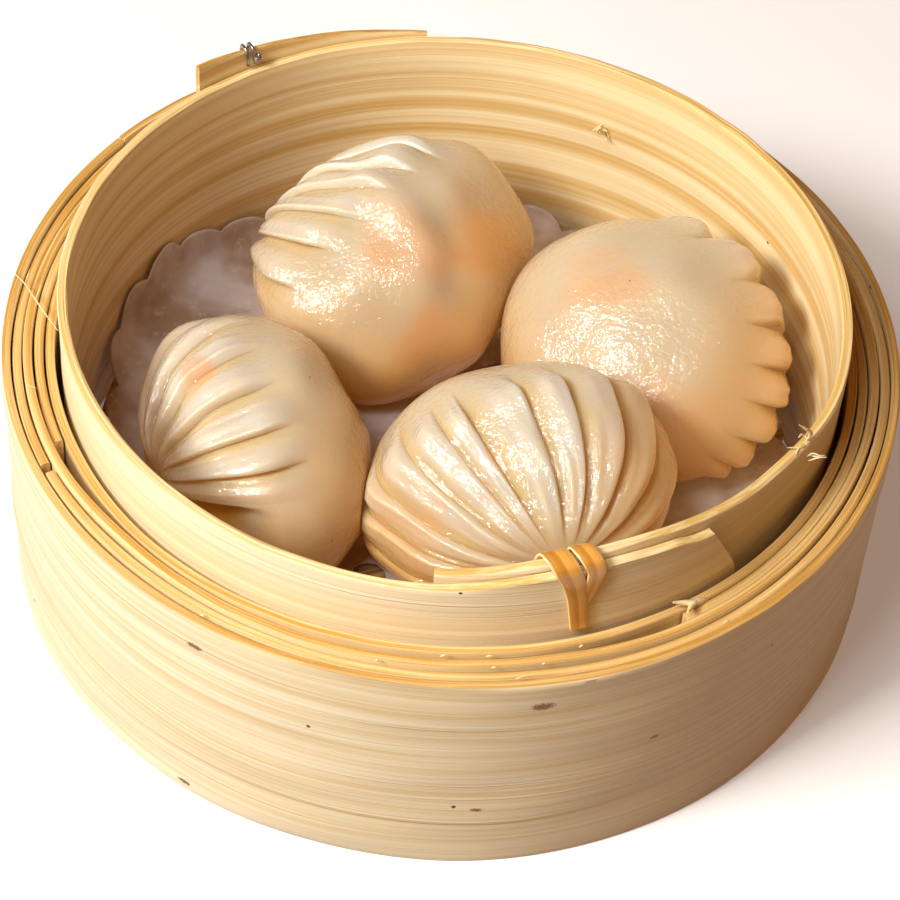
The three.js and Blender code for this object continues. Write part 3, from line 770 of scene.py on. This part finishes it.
floor_reach = HOOP_RADIUS - HOOP_THICKNESS - LAP_DEPTH - 0.8 * MM
for index in range(SLAT_COUNT):
    offset = (index - (SLAT_COUNT - 1) / 2) * SLAT_PITCH
    name = f"slat_{index + 1}"
    sizes = (SLAT_WIDTH, slat_low.z, slat_high.z, floor_reach)
    plank(name, f"floor_{name}", offset, *sizes, FLOOR_TURN, 41 + index)
for index, offset in enumerate([BATTEN_OFFSET, -BATTEN_OFFSET]):
    name = f"batten_{index + 1}"
    low, high = (corner.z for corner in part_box(f"floor_{name}"))
    sizes = (BATTEN_WIDTH, low, high, BATTEN_REACH)
    plank(name, f"floor_{name}", offset, *sizes, FLOOR_TURN + math.pi / 2, 61 + index)

# %% [markdown]
# ## The paper liner
# A round of thin steaming paper with a scalloped edge lies on the slats. It is a little too wide,
# so its edge curls up the wall, most at the back left. A grid of rings makes the sheet, the faces
# inside each steam hole are left out and the points round a hole are moved onto its circle. A
# solidify modifier then gives the sheet its thickness.

# %% Make the paper
paper, tree, shader = start_material(
    "paper", Specular_IOR_Level=0.25, Subsurface_Weight=0.3,
    Subsurface_Radius=(1.0, 0.6, 0.4), Subsurface_Scale=1.0 * MM,
)
place = object_place(tree)
pulp = noise(tree, place, 420.0, 5.0, 0.7)
damp = noise(tree, place, 55.0, 3.0, 0.55)
soaked = ramp(tree, damp, 0.4, 0.62)
paper_colour = blend_colour(tree, soaked, (0.68, 0.59, 0.56, 1), (0.42, 0.29, 0.20, 1))
flecks = ramp(tree, pulp, 0.52, 0.75, 0, 0.5)
paper_colour = blend_colour(tree, flecks, paper_colour, (0.86, 0.80, 0.80, 1))
paper_gloss = ramp(tree, damp, 0.4, 0.6, 0.75, 0.4)
paper_normal = bump(tree, pulp, 0.6, 0.15 * MM)
fill(tree, shader, {"Base Color": paper_colour, "Roughness": paper_gloss, "Normal": paper_normal})

PAPER_REACH = 66.0 * MM  # from the middle of the sheet to the tips of its lobes
LOBES = 40
LOBE_DEPTH = 2.4 * MM
FLAT_REACH = 63.0 * MM  # where the paper starts to curl up the wall
CURL_RADIUS = 5.0 * MM
PAPER_LIFT = 0.3 * MM  # its top above the underside of the plain solid
PAPER_THICKNESS = 0.2 * MM
HOLE_RADIUS = 3.2 * MM


def paper_edge(angle):
    """Where the sheet ends, measured along it. It reaches further where it climbs the wall."""
    climbs = 11.5 * bump_at(angle, 150, 26) + 7.5 * bump_at(angle, 120, 34)
    climbs = climbs + 5 * bump_at(angle, 84, 24) + 10 * bump_at(angle, 26, 17)
    lobes = (1 - np.abs(np.sin(np.radians(angle) * LOBES / 2))) ** 1.3
    return PAPER_REACH + climbs * MM - LOBE_DEPTH * lobes


def on_paper(angle, distance):
    """A point of the sheet, so far from its middle along the paper."""
    past = np.maximum(distance - FLAT_REACH, 0)
    turn = np.minimum(past / CURL_RADIUS, math.radians(84))
    straight = past - turn * CURL_RADIUS
    radius = np.minimum(distance, FLAT_REACH) + CURL_RADIUS * np.sin(turn) + straight * np.cos(turn)
    rise = CURL_RADIUS * (1 - np.cos(turn)) + straight * np.sin(turn)
    crumple = waves(on_circle(angle, distance, 0)[..., :2], (17 * MM, 17 * MM), 71)
    rise = rise + (0.08 + 0.5 * smooth(distance, 58 * MM, 64 * MM)) * MM * (crumple + 0.6)
    ruffle = np.maximum(waves(angle[..., None], (31,), 72), -0.3) * 0.7 * MM
    radius = radius - ruffle * smooth(past, 0, 6 * MM)
    return on_circle(angle, radius, PAPER_BOTTOM + PAPER_LIFT + rise)


ring_count, column_count = 84, LOBES * 12
angle = np.linspace(0, 360, column_count, endpoint=False)[None, :]
share = np.linspace(0.02, 1, ring_count)[:, None]
sheet = on_paper(angle + 0 * share, share * paper_edge(angle))
faces = np.array(grid_faces(ring_count, column_count))
flat = sheet.reshape(-1, 3)
HOLE_RINGS = [(35 * MM, 6, -110), (23 * MM, 2, 66)]  # radius of the ring, holes in it, first angle
for ring_radius, count, first in HOLE_RINGS:
    for turn in range(count):
        middle = on_circle(first + turn * 360 / count, ring_radius, 0)[:2]
        centres = flat[faces].mean(axis=1)[:, :2]
        faces = faces[np.linalg.norm(centres - middle, axis=1) > HOLE_RADIUS]
        away = flat[:, :2] - middle
        distance = np.linalg.norm(away, axis=1)
        rim = (distance < HOLE_RADIUS + 0.45 * MM) & (distance > 0)
        flat[rim, :2] = middle + away[rim] / distance[rim, None] * HOLE_RADIUS
used, faces = np.unique(faces, return_inverse=True)
faces = faces.reshape(-1, 4).tolist()
liner = add_piece("scalloped_paper", flat[used], faces, paper, ["paper_liner"])
liner.modifiers.new("thickness", "SOLIDIFY").thickness = PAPER_THICKNESS

# %% [markdown]
# ## The wrapper material
# Cooked wheat-starch dough is cloudy and lets light in, so the prawn inside tints it. Subsurface
# scattering gives the soft glow, and the colour comes from values stored on the mesh: `ridge`
# is 1 on the lip of a pleat and 0 in a crease, where the colour is deeper and yellower, partly the
# filling seen through and partly painted shade, `blush` is where the filling shines through, and
# a third value is painted shade: amber-brown on the lower side, in the dent and on the side away
# from the light, for the shade there and the amber that the bamboo throws into it. The water on it
# is a clear coat with a strong ripple, which breaks every highlight into sparks, while the same
# ripple hardly shows in the soft skin beneath. The coat needs its own wire for that, into Coat
# Normal. A faint painted glow, strongest in the creases, stands for light that has come through.

# %% Make the dough material
dough, tree, shader = start_material(
    "dough", Roughness=0.5, Specular_IOR_Level=0.15, Subsurface_Weight=1.0,
    Subsurface_Radius=(1.0, 0.55, 0.3), Subsurface_Scale=7 * MM,
    Coat_Weight=1.0, Coat_Roughness=0.07, Coat_IOR=1.65, Emission_Strength=0.075,
)
place = object_place(tree)
ridge = attribute(tree, "ridge").outputs["Fac"]
blush = attribute(tree, "blush").outputs["Fac"]
painted_shade = attribute(tree, "painted_shade").outputs["Fac"]
cloudy = noise(tree, place, 130.0, 3.0, 0.55)
clouds = ramp(tree, cloudy, 0.35, 0.65)
milky = blend_colour(tree, clouds, (0.60, 0.55, 0.43, 1), (0.58, 0.54, 0.46, 1))
# creases deeper and yellower: partly the filling seen through, partly painted shade
dough_colour = blend_colour(tree, ridge, (0.54, 0.40, 0.19, 1), milky)
dough_colour = blend_colour(tree, blush, dough_colour, (0.72, 0.33, 0.12, 1))
# painted shade: low skin, the dent and the side away from the light are mixed towards amber-brown
dough_colour = blend_colour(tree, painted_shade, dough_colour, (0.50, 0.25, 0.04, 1))
values = {"Place": place, "Scale": 160.0, "Size": 0.035, "Share": 0.10}
pepper = place_group(tree, speck_group, values)
dough_colour = blend_colour(tree, pepper.outputs["Mask"], dough_colour, (0.30, 0.14, 0.05, 1))
# painted glow: emission that stands in for light come through, orange in the creases and the painted shade
glow = blend_colour(tree, ridge, (1.0, 0.42, 0.08, 1), (0.55, 0.35, 0.16, 1))
glow = blend_colour(tree, painted_shade, glow, (0.80, 0.25, 0.02, 1))
ripple = noise(tree, place, 900.0, 2.0, 0.6)
ripple = maths(tree, "ADD", ripple, noise(tree, place, 300.0, 2.0, 0.5))
skin = bump(tree, ripple, 1.0, 0.04 * MM)
water = bump(tree, ripple, 1.0, 0.42 * MM)
sockets = {"Base Color": dough_colour, "Emission Color": glow, "Normal": skin, "Coat Normal": water}
fill(tree, shader, sockets)
print("dough material:", len(tree.nodes), "nodes")

# %% [markdown]
# ## Har gow
# The cook folds a round of dough over the filling and gathers one side into pleats that meet at
# one point, the knot. Seen from the middle of a dumpling, each point of its skin has an angle off
# the knot and an angle round it, so pleats are a repeating section in the second angle that fades
# along the first. The pleats lie over each other like shingles: the top of each is pushed
# sideways over the next crease. Sculpting by hand would give the same forms, but a rule keeps the
# crease lines true all the way to the knot.
#
# Sizes are in millimetres here and angles in degrees. `centre`, `half` and `turn` place the plain
# body, `knot` and `fan_way` point to the knot and to the middle of the fan. `creases` are the
# angles of the creases and `ridges` the heights of the pleats between them. The fan rises over
# `begin`, ends in a crest at the two angles `crest`, for its first and last pleat, and is gone
# `fade` further on. `lip` is how far each pleat's end stands out at the crest, `lean` the side
# that the pleats fall to and `over` how far. `recess` is the depth of the dent beyond the last
# pleat, `lumps` the unevenness, and each blush is a direction, a spread and a strength.

# %% The four dumplings
DUMPLINGS = {
    "har_gow_front": {
        "centre": (13.4, -23.8, 34.4), "half": (28.0, 23.1, 18.5), "turn": (11, -14, 27),
        "knot": (0.42, -0.90, 0.10), "fan_way": (-0.1, 0.3, 1),
        "creases": (-122, -107, -93, -80, -61, -42, -28, 3, 23, 43, 61, 80, 101),
        "ridges": (0.6, 0.8, 1.0, 1.3, 0.9, 0.9, 1.5, 1.7, 1.9, 2.0, 1.9, 1.8),
        "lip": 0.9, "begin": (10, 40), "crest": (100, 94), "fade": 28,
        "lean": 1, "over": 0.08, "recess": 1.0, "lumps": 0.35, "seed": 81,
        "blushes": [((-0.1, -0.35, 0.9), 9, 0.4), ((-0.75, -0.6, 0.1), 14, 0.3)],
    },
    "har_gow_left": {
        "centre": (-34.2, -17.2, 32.6), "half": (28.6, 20.2, 18.4), "turn": (114, -7, 2),
        "knot": (-0.86, -0.50, 0.08), "fan_way": (0.3, 0.3, 1),
        "creases": (-86, -62, -41, -17, 11, 40, 59, 74),
        "ridges": (1.5, 1.6, 1.8, 2.0, 2.0, 1.7, 1.8),
        "lip": 0.2, "begin": (6, 30), "crest": (80, 72), "fade": 28,
        "lean": 1, "over": 0.08, "recess": 5.0, "lumps": 0.4, "seed": 82,
        "blushes": [((-0.45, 0.0, 0.9), 8, 0.45), ((0.5, 0.6, 0.5), 22, 0.3)],
    },
    "har_gow_back": {
        "centre": (-12.8, 32.0, 33.6), "half": (29.9, 24.5, 18.4), "turn": (52, -13, 16),
        "knot": (-0.95, 0.30, -0.06), "fan_way": (0, 0, 1),
        "creases": (-64, -40, -20, 0, 22, 44, 66, 96),
        "ridges": (1.2, 1.6, 1.8, 1.8, 1.3, 2.4, 2.2),
        "lip": 0.6, "begin": (2, 18), "crest": (92, 40), "fade": 24,
        "lean": 1, "over": 0.12, "recess": 1.5, "lumps": 0.9, "seed": 83,
        "blushes": [((0.2, -0.5, 0.8), 20, 0.45), ((0.8, -0.1, 0.6), 22, 0.7), ((0.4, -0.8, 0.1), 20, 0.6)],
    },
    "har_gow_right": {
        "centre": (35.8, 14.9, 33.6), "half": (28.1, 25.1, 18.0), "turn": (146, -4, -26),
        "knot": (0.62, 0.5, -0.6), "fan_way": (0.9, -0.3, 0.5),
        "creases": (-66, -53, -40, -25, -10, 8, 31, 63, 100),
        "ridges": (0.5, 0.5, 0.6, 0.6, 0.7, 0.8, 0.8, 0.8),
        "lip": 2.6, "begin": (8, 40), "crest": (77, 77), "fade": 14,
        "lean": -1, "over": 0.06, "recess": 0.5, "lumps": 0.4, "seed": 84,
        "blushes": [((-0.45, 0.0, 0.9), 20, 0.4), ((0.2, -0.8, 0.0), 24, 0.4)],
    },
}
TOUCHES = [  # first, second and the direction from one to the other where they press together
    ("har_gow_front", "har_gow_left", (-1, 0.07, -0.01)),
    ("har_gow_front", "har_gow_right", (0.41, 0.83, -0.37)),
    ("har_gow_back", "har_gow_right", (0.91, -0.42, 0.06)),
    ("har_gow_back", "har_gow_left", (-0.6, -0.79, 0.12)),
]

# %% [markdown]
# ## The plain body and where it is pressed
# The plain body is an ellipsoid turned in space. Where two dumplings meet, both are flattened
# against the plane halfway between them, and all are flat underneath where they stand.


# %% Body helpers
PAPER_ROOM = 0.6 * MM  # space left for the paper between the food and the wall


def body_axes(dumpling):
    yaw, pitch, roll = np.radians(dumpling["turn"])
    c, s = math.cos, math.sin
    about_z = np.array([[c(yaw), -s(yaw), 0], [s(yaw), c(yaw), 0], [0, 0, 1]])
    about_y = np.array([[c(pitch), 0, s(pitch)], [0, 1, 0], [-s(pitch), 0, c(pitch)]])
    about_x = np.array([[1, 0, 0], [0, c(roll), -s(roll)], [0, s(roll), c(roll)]])
    return about_z @ about_y @ about_x


def support(dumpling, way):
    """How far the plain body reaches from its centre along a direction."""
    return np.linalg.norm((way @ body_axes(dumpling)) * np.array(dumpling["half"])) * MM


def press_planes(name):
    """Each plane is a direction and how far along it the dumpling may reach."""
    planes = []
    for first, second, direction in TOUCHES:
        if name not in (first, second):
            continue
        way = unit(direction)
        near, far = DUMPLINGS[first], DUMPLINGS[second]
        near_face = way @ np.array(near["centre"]) * MM + support(near, way)
        far_face = way @ np.array(far["centre"]) * MM - support(far, way)
        middle = (near_face + far_face) / 2
        planes.append((way, middle - GAP / 2) if name == first else (-way, -middle - GAP / 2))
    return planes


def settle(points, planes):
    """Presses points back from the neighbours, up from the floor and in from the curled paper."""
    for way, limit in planes:
        past = points @ way - limit
        points = points - np.maximum(past, 0)[..., None] * way
    points[..., 2] = np.maximum(points[..., 2], FOOD_FLOOR)
    risen = np.clip((points[..., 2] - FOOD_FLOOR) / CURL_RADIUS, 0, 1)
    curl = (CURL_RADIUS - PAPER_ROOM) * np.sqrt(1 - (1 - risen) ** 2)
    reach = FLAT_REACH - PAPER_ROOM + curl
    inward = np.minimum(reach / np.linalg.norm(points[..., :2], axis=-1), 1)
    points[..., :2] *= inward[..., None]
    return points


# %% [markdown]
# ## Pleats
# A pleat's section rises slowly from one crease, peaks near the far side and drops quickly into
# the next. It is fullest along the fan. Where the pleats end, on the crest, a rounder section
# adds a lip to each. Thin creases run along the pleats, and beyond the last of them the skin is
# dented. Everything is worked out as a distance from the middle of the dumpling for each
# direction, so the skin never folds through itself.

# %% Shape one dumpling
PEAK = 0.8  # where a pleat is highest, as a share of its width
LOBE_PEAK = 0.6  # the same for the rounded ends of the pleats on the crest
CREST_SPREAD = 9  # degrees on each side of the crest over which the lips fade
PLEAT_COLUMNS = 30
PLAIN_COLUMNS = 90
SKIN_ROWS = 200


def pleat_section(share):
    rise = smooth(share, 0, PEAK) ** 0.8
    fall = np.cos(np.pi / 2 * np.clip((share - PEAK) / (1 - PEAK), 0, 1))
    return np.where(share < PEAK, rise, fall)


def lobe_section(share):
    rise = np.sin(np.pi / 2 * np.clip(share / LOBE_PEAK, 0, 1)) ** 0.8
    fall = np.cos(np.pi / 2 * np.clip((share - LOBE_PEAK) / (1 - LOBE_PEAK), 0, 1)) ** 0.5
    return np.where(share < LOBE_PEAK, rise, fall)


def skin_grid(d):
    """Two angles for the rows and columns of the skin, and each column's pleat, or -1."""
    creases = d["creases"]
    place = np.arange((len(creases) - 1) * PLEAT_COLUMNS) / PLEAT_COLUMNS
    pleated = np.interp(place, np.arange(len(creases)), creases)
    plain = np.linspace(creases[-1], creases[0] + 360, PLAIN_COLUMNS, endpoint=False)
    round_knot = np.concatenate([pleated, plain])
    place = np.concatenate([place, np.full(PLAIN_COLUMNS, -1.0)])
    off_knot = np.linspace(0.6, 179.4, SKIN_ROWS)[:, None]
    return off_knot, round_knot[None, :], place[None, :]


def shape_skin(name):
    """Points of a skin, their directions from the middle, and how far on a ridge or in the dent."""
    d = DUMPLINGS[name]
    off_knot, round_knot, place = skin_grid(d)
    in_pleats = place >= 0
    pleats = len(d["ridges"])
    number = np.clip(np.floor(place).astype(int), 0, pleats - 1)
    share = place - number if d["lean"] > 0 else 1 - (place - number)
    section = np.where(in_pleats, pleat_section(share), 0)
    lobe = np.where(in_pleats, lobe_section(share), 0)
    edge = np.where(in_pleats, smooth(np.minimum(place, pleats - place), 0, 0.8), 0)
    crest = mix(*d["crest"], np.clip(place / pleats, 0, 1))
    along = smooth(off_knot, *d["begin"]) * (1 - smooth(off_knot, crest, crest + d["fade"]))
    on_crest = np.exp(-(((off_knot - crest) / CREST_SPREAD) ** 2))
    height = np.array(d["ridges"])[number]
    over = d["over"] * d["lean"] * edge * np.exp(-(((share - PEAK) / 0.2) ** 2))
    pitch = np.diff(d["creases"])[number]
    turned = np.radians(round_knot + over * pitch * np.maximum(along, on_crest * 0.8))

    knot = unit(d["knot"])
    up = np.array(d["fan_way"], float)
    up = unit(up - knot * (up @ knot))
    right = np.cross(up, knot)
    lean_off = np.radians(off_knot)[..., None]
    around = np.cos(turned)[..., None] * up + np.sin(turned)[..., None] * right
    way = np.cos(lean_off) * knot + np.sin(lean_off) * around
    reach = 1 / np.linalg.norm((way @ body_axes(d)) / np.array(d["half"]), axis=-1)
    reach = reach + edge * (height * along * (section - 0.5) + d["lip"] * on_crest * lobe)
    lumps = waves(way, (0.75, 0.75, 0.75), d["seed"]) * d["lumps"]
    thin_place = np.stack([place * 0.9 + 0 * off_knot, off_knot / 60 + 0 * place], -1)
    creases = waves(thin_place, (0.28, 0.9), d["seed"] + 7) * 0.13
    creases = creases * np.maximum(along, on_crest) * edge
    past_fan = np.where(in_pleats, 0, round_knot - d["creases"][-1])
    hollow = smooth(past_fan, 0, 5) * (1 - smooth(past_fan, 14, 58)) * (1 - in_pleats)
    hollow = hollow * smooth(off_knot, 3, 22) * (1 - smooth(off_knot, 46, 78))
    reach = (reach + lumps + creases - hollow * d["recess"])[..., None]
    points = settle((way * reach + np.array(d["centre"])) * MM, press_planes(name))
    white = np.where(in_pleats, smooth(share, 0, 0.6), 0.6)
    # the last value is the dent's share, which the colour uses as painted shade
    return points, way, mix(0.6, white, along * edge), hollow * min(d["recess"] / 5, 1)


# %% [markdown]
# ## Colour values on the skin
# The stored values are worked out from the same shape: how far up a pleat a point lies, how near
# it is to a place where prawn shines through, and whether it sits low, in the dent or on the side
# away from the light, which all get painted shade. The skin is closed by one point at each end
# of its grid.

# %% Make the dumplings
SHADE_WAY = (0.95, -0.1, -0.3)  # the direction away from the light


def blushing(d, way):
    total = np.zeros(way.shape[:-1])
    for direction, spread, strength in d["blushes"]:
        away = np.degrees(np.arccos(np.clip(way @ unit(direction), -1, 1)))
        ragged = away + 7 * waves(way, (0.5, 0.5, 0.5), d["seed"])
        total = np.maximum(total, strength * (1 - smooth(ragged, spread * 0.3, spread * 1.5)))
    return total


def make_dumpling(name):
    d = DUMPLINGS[name]
    points, way, ridge, hollow = shape_skin(name)
    rows, columns = points.shape[:2]
    first, last = points[0].mean(axis=0), points[-1].mean(axis=0)
    faces = [face[::-1] for face in grid_faces(rows, columns)]
    final = rows * columns  # number of the first of the two end points
    for column in range(columns):
        after = (column + 1) % columns
        faces.append([final, column, after])
        faces.append([final + 1, final - columns + after, final - columns + column])
    every = np.vstack([points.reshape(-1, 3), first, last])
    title = name.replace("har_gow", "dumpling")
    piece = add_piece(title, every, faces, dough, [name], crease_angle=180)
    height = points[..., 2] - FOOD_FLOOR
    # painted shade: low skin, the dent and the side away from the light, stored for the colour to darken
    shaded = 0.7 * smooth(way @ unit(SHADE_WAY), 0.0, 0.9)
    painted_shade = np.maximum(np.maximum(1 - smooth(height, 2 * MM, 34 * MM), hollow), shaded)
    blush = blushing(d, way)
    for label, values in [("ridge", ridge), ("blush", blush), ("painted_shade", painted_shade)]:
        values = np.broadcast_to(values, (rows, columns)).ravel()
        paint(piece, label, np.append(values, [values[0], values[-1]])[:, None])


for name in DUMPLINGS:
    make_dumpling(name)

# %% [markdown]
# ## Loose fibres and splinters
# Split bamboo always sheds a few fibres. They are tapered strands at true size: one long pale
# fibre lying over the bands at the left, tufts of splinters on the rim and on the inner wall,
# the split start of the fourth strip, and crumbs between the bands.

# %% Make fibres, tufts and crumbs
def taper(count, width):
    return width * (0.25 + 0.75 * np.sin(np.linspace(0.15, np.pi - 0.1, count)))


def fibre(route, width):
    """A tapered strand through the points of a route."""
    path = rounded_path(np.asarray(route), 6)
    return strand(path, (0.3, 0.2, 1), taper(len(path), width), taper(len(path), width), 6)


def tuft(root, way, count, length, spread, width, seed):
    """A bunch of splinters that spring from one root."""
    dice = np.random.default_rng(seed)
    parts = []
    for _ in range(count):
        tip = unit(unit(way) + dice.normal(size=3) * spread) * length * dice.uniform(0.4, 1.1)
        start = np.asarray(root) + dice.normal(size=3) * width * 1.5
        bend = dice.normal(size=3) * length * 0.08
        parts.append(fibre([start, start + tip * 0.5 + bend, start + tip], width * dice.uniform(0.6, 1.3)))
    return joined(parts)


def add_trimming(name, parts, material):
    points, faces = joined(parts)
    piece = add_piece(name, points, faces, material)
    paint(piece, "grain", points * np.array([0.3, 1, 1]))
    paint(piece, "edge", np.full((len(points), 1), 0.5))


def over_bands(angle, radius, lift):
    """A point over the tops of the bands, with its radius and lift in millimetres."""
    return on_circle(angle, radius * MM, BAND_HEIGHT + lift * MM)


LONG_WIDTH, SIDE_WIDTH = 0.32 * MM, 0.2 * MM
LONG_ROUTE = [
    (175.9, 81.6, 0.9), (178, 78.8, 1.2), (-179, 76.2, 1.5), (-175.5, 73.6, 2.0), (-172.1, 71.3, 2.4),
]
long_fibre = [over_bands(*point) for point in LONG_ROUTE]
side_fibres = [
    [long_fibre[1], over_bands(176.4, 78.2, 2.9)],
    [long_fibre[2], over_bands(178.9, 75.4, 2.5)],
    [over_bands(-163.6, 77.6, 0.5), over_bands(-162.0, 76.0, 1.5)],
    [over_bands(-79.6, 80.0, 0.5), over_bands(-78.6, 80.8, 2.1)],
]
parts = [fibre(long_fibre, LONG_WIDTH)] + [fibre(route, SIDE_WIDTH) for route in side_fibres]
add_trimming("loose_fibres", parts, bamboo_hoop)

rim_root = on_circle(-26.5, HOOP_RADIUS - HOOP_THICKNESS, RIM_HEIGHT)
outer_root = on_circle(-29.6, HOOP_RADIUS, RIM_HEIGHT)
wall_root = on_circle(67.8, HOOP_RADIUS - HOOP_THICKNESS - 0.1 * MM, 46.5 * MM)
parts = [
    tuft(rim_root, (-0.55, -0.6, 0.35), 9, 5.5 * MM, 0.3, 0.45 * MM, 91),
    tuft(wall_root, (-0.35, -0.9, 0.1), 12, 2.4 * MM, 0.8, 0.35 * MM, 92),
    tuft(outer_root, (0.9, 0.25, 0.1), 3, 4.5 * MM, 0.15, 0.25 * MM, 93),
    tuft(wall_root, (0.3, -0.5, -0.8), 5, 4.0 * MM, 0.25, 0.2 * MM, 94),
]
for tip in [(-56.6, 72.8, 1.5), (-55.8, 75.6, 1.5)]:  # the split start of the fourth strip
    route = [over_bands(-50.5, 73.4, -1.5), over_bands(-53.5, 73.8, 0.2), over_bands(*tip)]
    parts.append(fibre(route, 1.3 * MM))
add_trimming("splinter_tufts", parts, bamboo_hoop)

CRUMB_ANGLES = [-81.8, -75.7, -70.4, -82.2, -88, -96, -140, 12, -52, -118]
CRUMB_WIDTH = 0.35 * MM
crumb_dice = np.random.default_rng(95)
parts = []
for angle in CRUMB_ANGLES:
    gap_radius = OUTER_RADIUS - crumb_dice.choice([1.75, 4.3, 6.7]) * MM
    spot = on_circle(angle, gap_radius, BAND_HEIGHT + 0.1 * MM)
    way = on_circle(angle + 90 + crumb_dice.normal() * 25, 1.0, crumb_dice.uniform(0, 0.4))
    reach = way * crumb_dice.uniform(0.3, 0.7) * MM
    parts.append(fibre([spot - reach, spot + np.array([0, 0, 0.2 * MM]), spot + reach], CRUMB_WIDTH))
add_trimming("band_crumbs", parts, bamboo_hoop)

# %% [markdown]
# ## Stage, light and camera
# The floor is plain and pale. A soft key light stands at the front left, so the left of the
# basket is bright and its right side falls into warm shade. A smaller, higher one adds the
# sparks of a window, a low wide one acts like light thrown back by the table, and a weak warm
# fill and a dim warm world keep the shade from going black. The camera looks down from the front
# and is rolled a little.

# %% Floor, lights and camera
FLOOR_REACH = 3.0  # metres
floor_mesh = bpy.data.meshes.new("floor")
corners = [(-1, -1), (1, -1), (1, 1), (-1, 1)]
corners = [(x * FLOOR_REACH, y * FLOOR_REACH, 0) for x, y in corners]
floor_mesh.from_pydata(corners, [], [(0, 1, 2, 3)])
floor = bpy.data.objects.new("floor", floor_mesh)
floor_material, tree, shader = start_material(
    "pale_floor", Base_Color=(0.90, 0.90, 0.90, 1), Roughness=0.8, Specular_IOR_Level=0.1,
    Emission_Color=(1, 1, 1, 1), Emission_Strength=0.15,
)
floor_mesh.materials.append(floor_material)
bpy.context.scene.collection.objects.link(floor)
floor.visible_diffuse = False  # the pale floor does not light the basket from below
floor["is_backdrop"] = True

LIT_POINT = np.array([0.0, 0.0, 0.03])  # what every light points at


def area_light(name, azimuth, elevation, distance, size, power, colour):
    """azimuth 0 stands at the front, 90 at the right; elevation is above the horizon, in degrees."""
    rise = math.radians(elevation)
    away = on_circle(azimuth - 90, math.cos(rise), math.sin(rise))
    data = bpy.data.lights.new(name, "AREA")
    data.shape = "RECTANGLE"
    data.size, data.size_y = size
    data.energy, data.color = power, colour
    light = bpy.data.objects.new(name, data)
    light.location = LIT_POINT + away * distance
    light.rotation_mode = "QUATERNION"
    light.rotation_quaternion = Vector(-away).to_track_quat("-Z", "Y")
    bpy.context.scene.collection.objects.link(light)


area_light("key", -55, 45, 0.9, (0.32, 0.22), 9.5, (1.0, 0.97, 0.92))
area_light("window", -35, 62, 0.8, (0.22, 0.22), 2.2, (0.97, 0.98, 1.0))
area_light("bounce", -52, 7, 0.9, (0.5, 0.16), 1.5, (1.0, 0.93, 0.82))
area_light("fill", 60, 35, 1.2, (0.8, 0.8), 1.1, (1.0, 0.58, 0.22))

world = bpy.data.worlds.new("room")
world.use_nodes = True
sky = {"Color": (1.0, 0.40, 0.09, 1), "Strength": 0.16}
fill(world.node_tree, world.node_tree.nodes["Background"], sky)
bpy.context.scene.world = world

CAMERA_ELEVATION = math.radians(47.32)
CAMERA_ROLL = math.radians(4.538)
CAMERA_DISTANCE = 0.520
CAMERA_LENS = 109.06
target = np.array([1.0, 0.3, 17.47]) * MM
back = np.array([0, -math.cos(CAMERA_ELEVATION), math.sin(CAMERA_ELEVATION)])
right = np.array([1.0, 0.0, 0.0])
up = np.array([0, math.sin(CAMERA_ELEVATION), math.cos(CAMERA_ELEVATION)])
camera_x = math.cos(CAMERA_ROLL) * right + math.sin(CAMERA_ROLL) * up
camera_y = -math.sin(CAMERA_ROLL) * right + math.cos(CAMERA_ROLL) * up
camera_data = bpy.data.cameras.new("camera")
camera_data.sensor_width = 36.0
camera_data.lens = CAMERA_LENS
camera = bpy.data.objects.new("camera", camera_data)
place = np.eye(4)
place[:3, 0], place[:3, 1], place[:3, 2] = camera_x, camera_y, back
place[:3, 3] = target + back * CAMERA_DISTANCE
camera.matrix_world = Matrix(place.tolist())
bpy.context.scene.collection.objects.link(camera)
bpy.context.scene.camera = camera
bpy.context.scene.view_settings.view_transform = "Standard"
print("lights: 4, camera distance: %.2f m" % CAMERA_DISTANCE)

# %% Compare sizes and finish
visual_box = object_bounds()
boxes = {"cad": [list(corner) for corner in cad_box], "visual": [list(corner) for corner in visual_box]}
difference = np.abs(np.array(boxes["cad"]) - np.array(boxes["visual"])).max()
print("largest difference: %.2f mm" % (difference / MM))
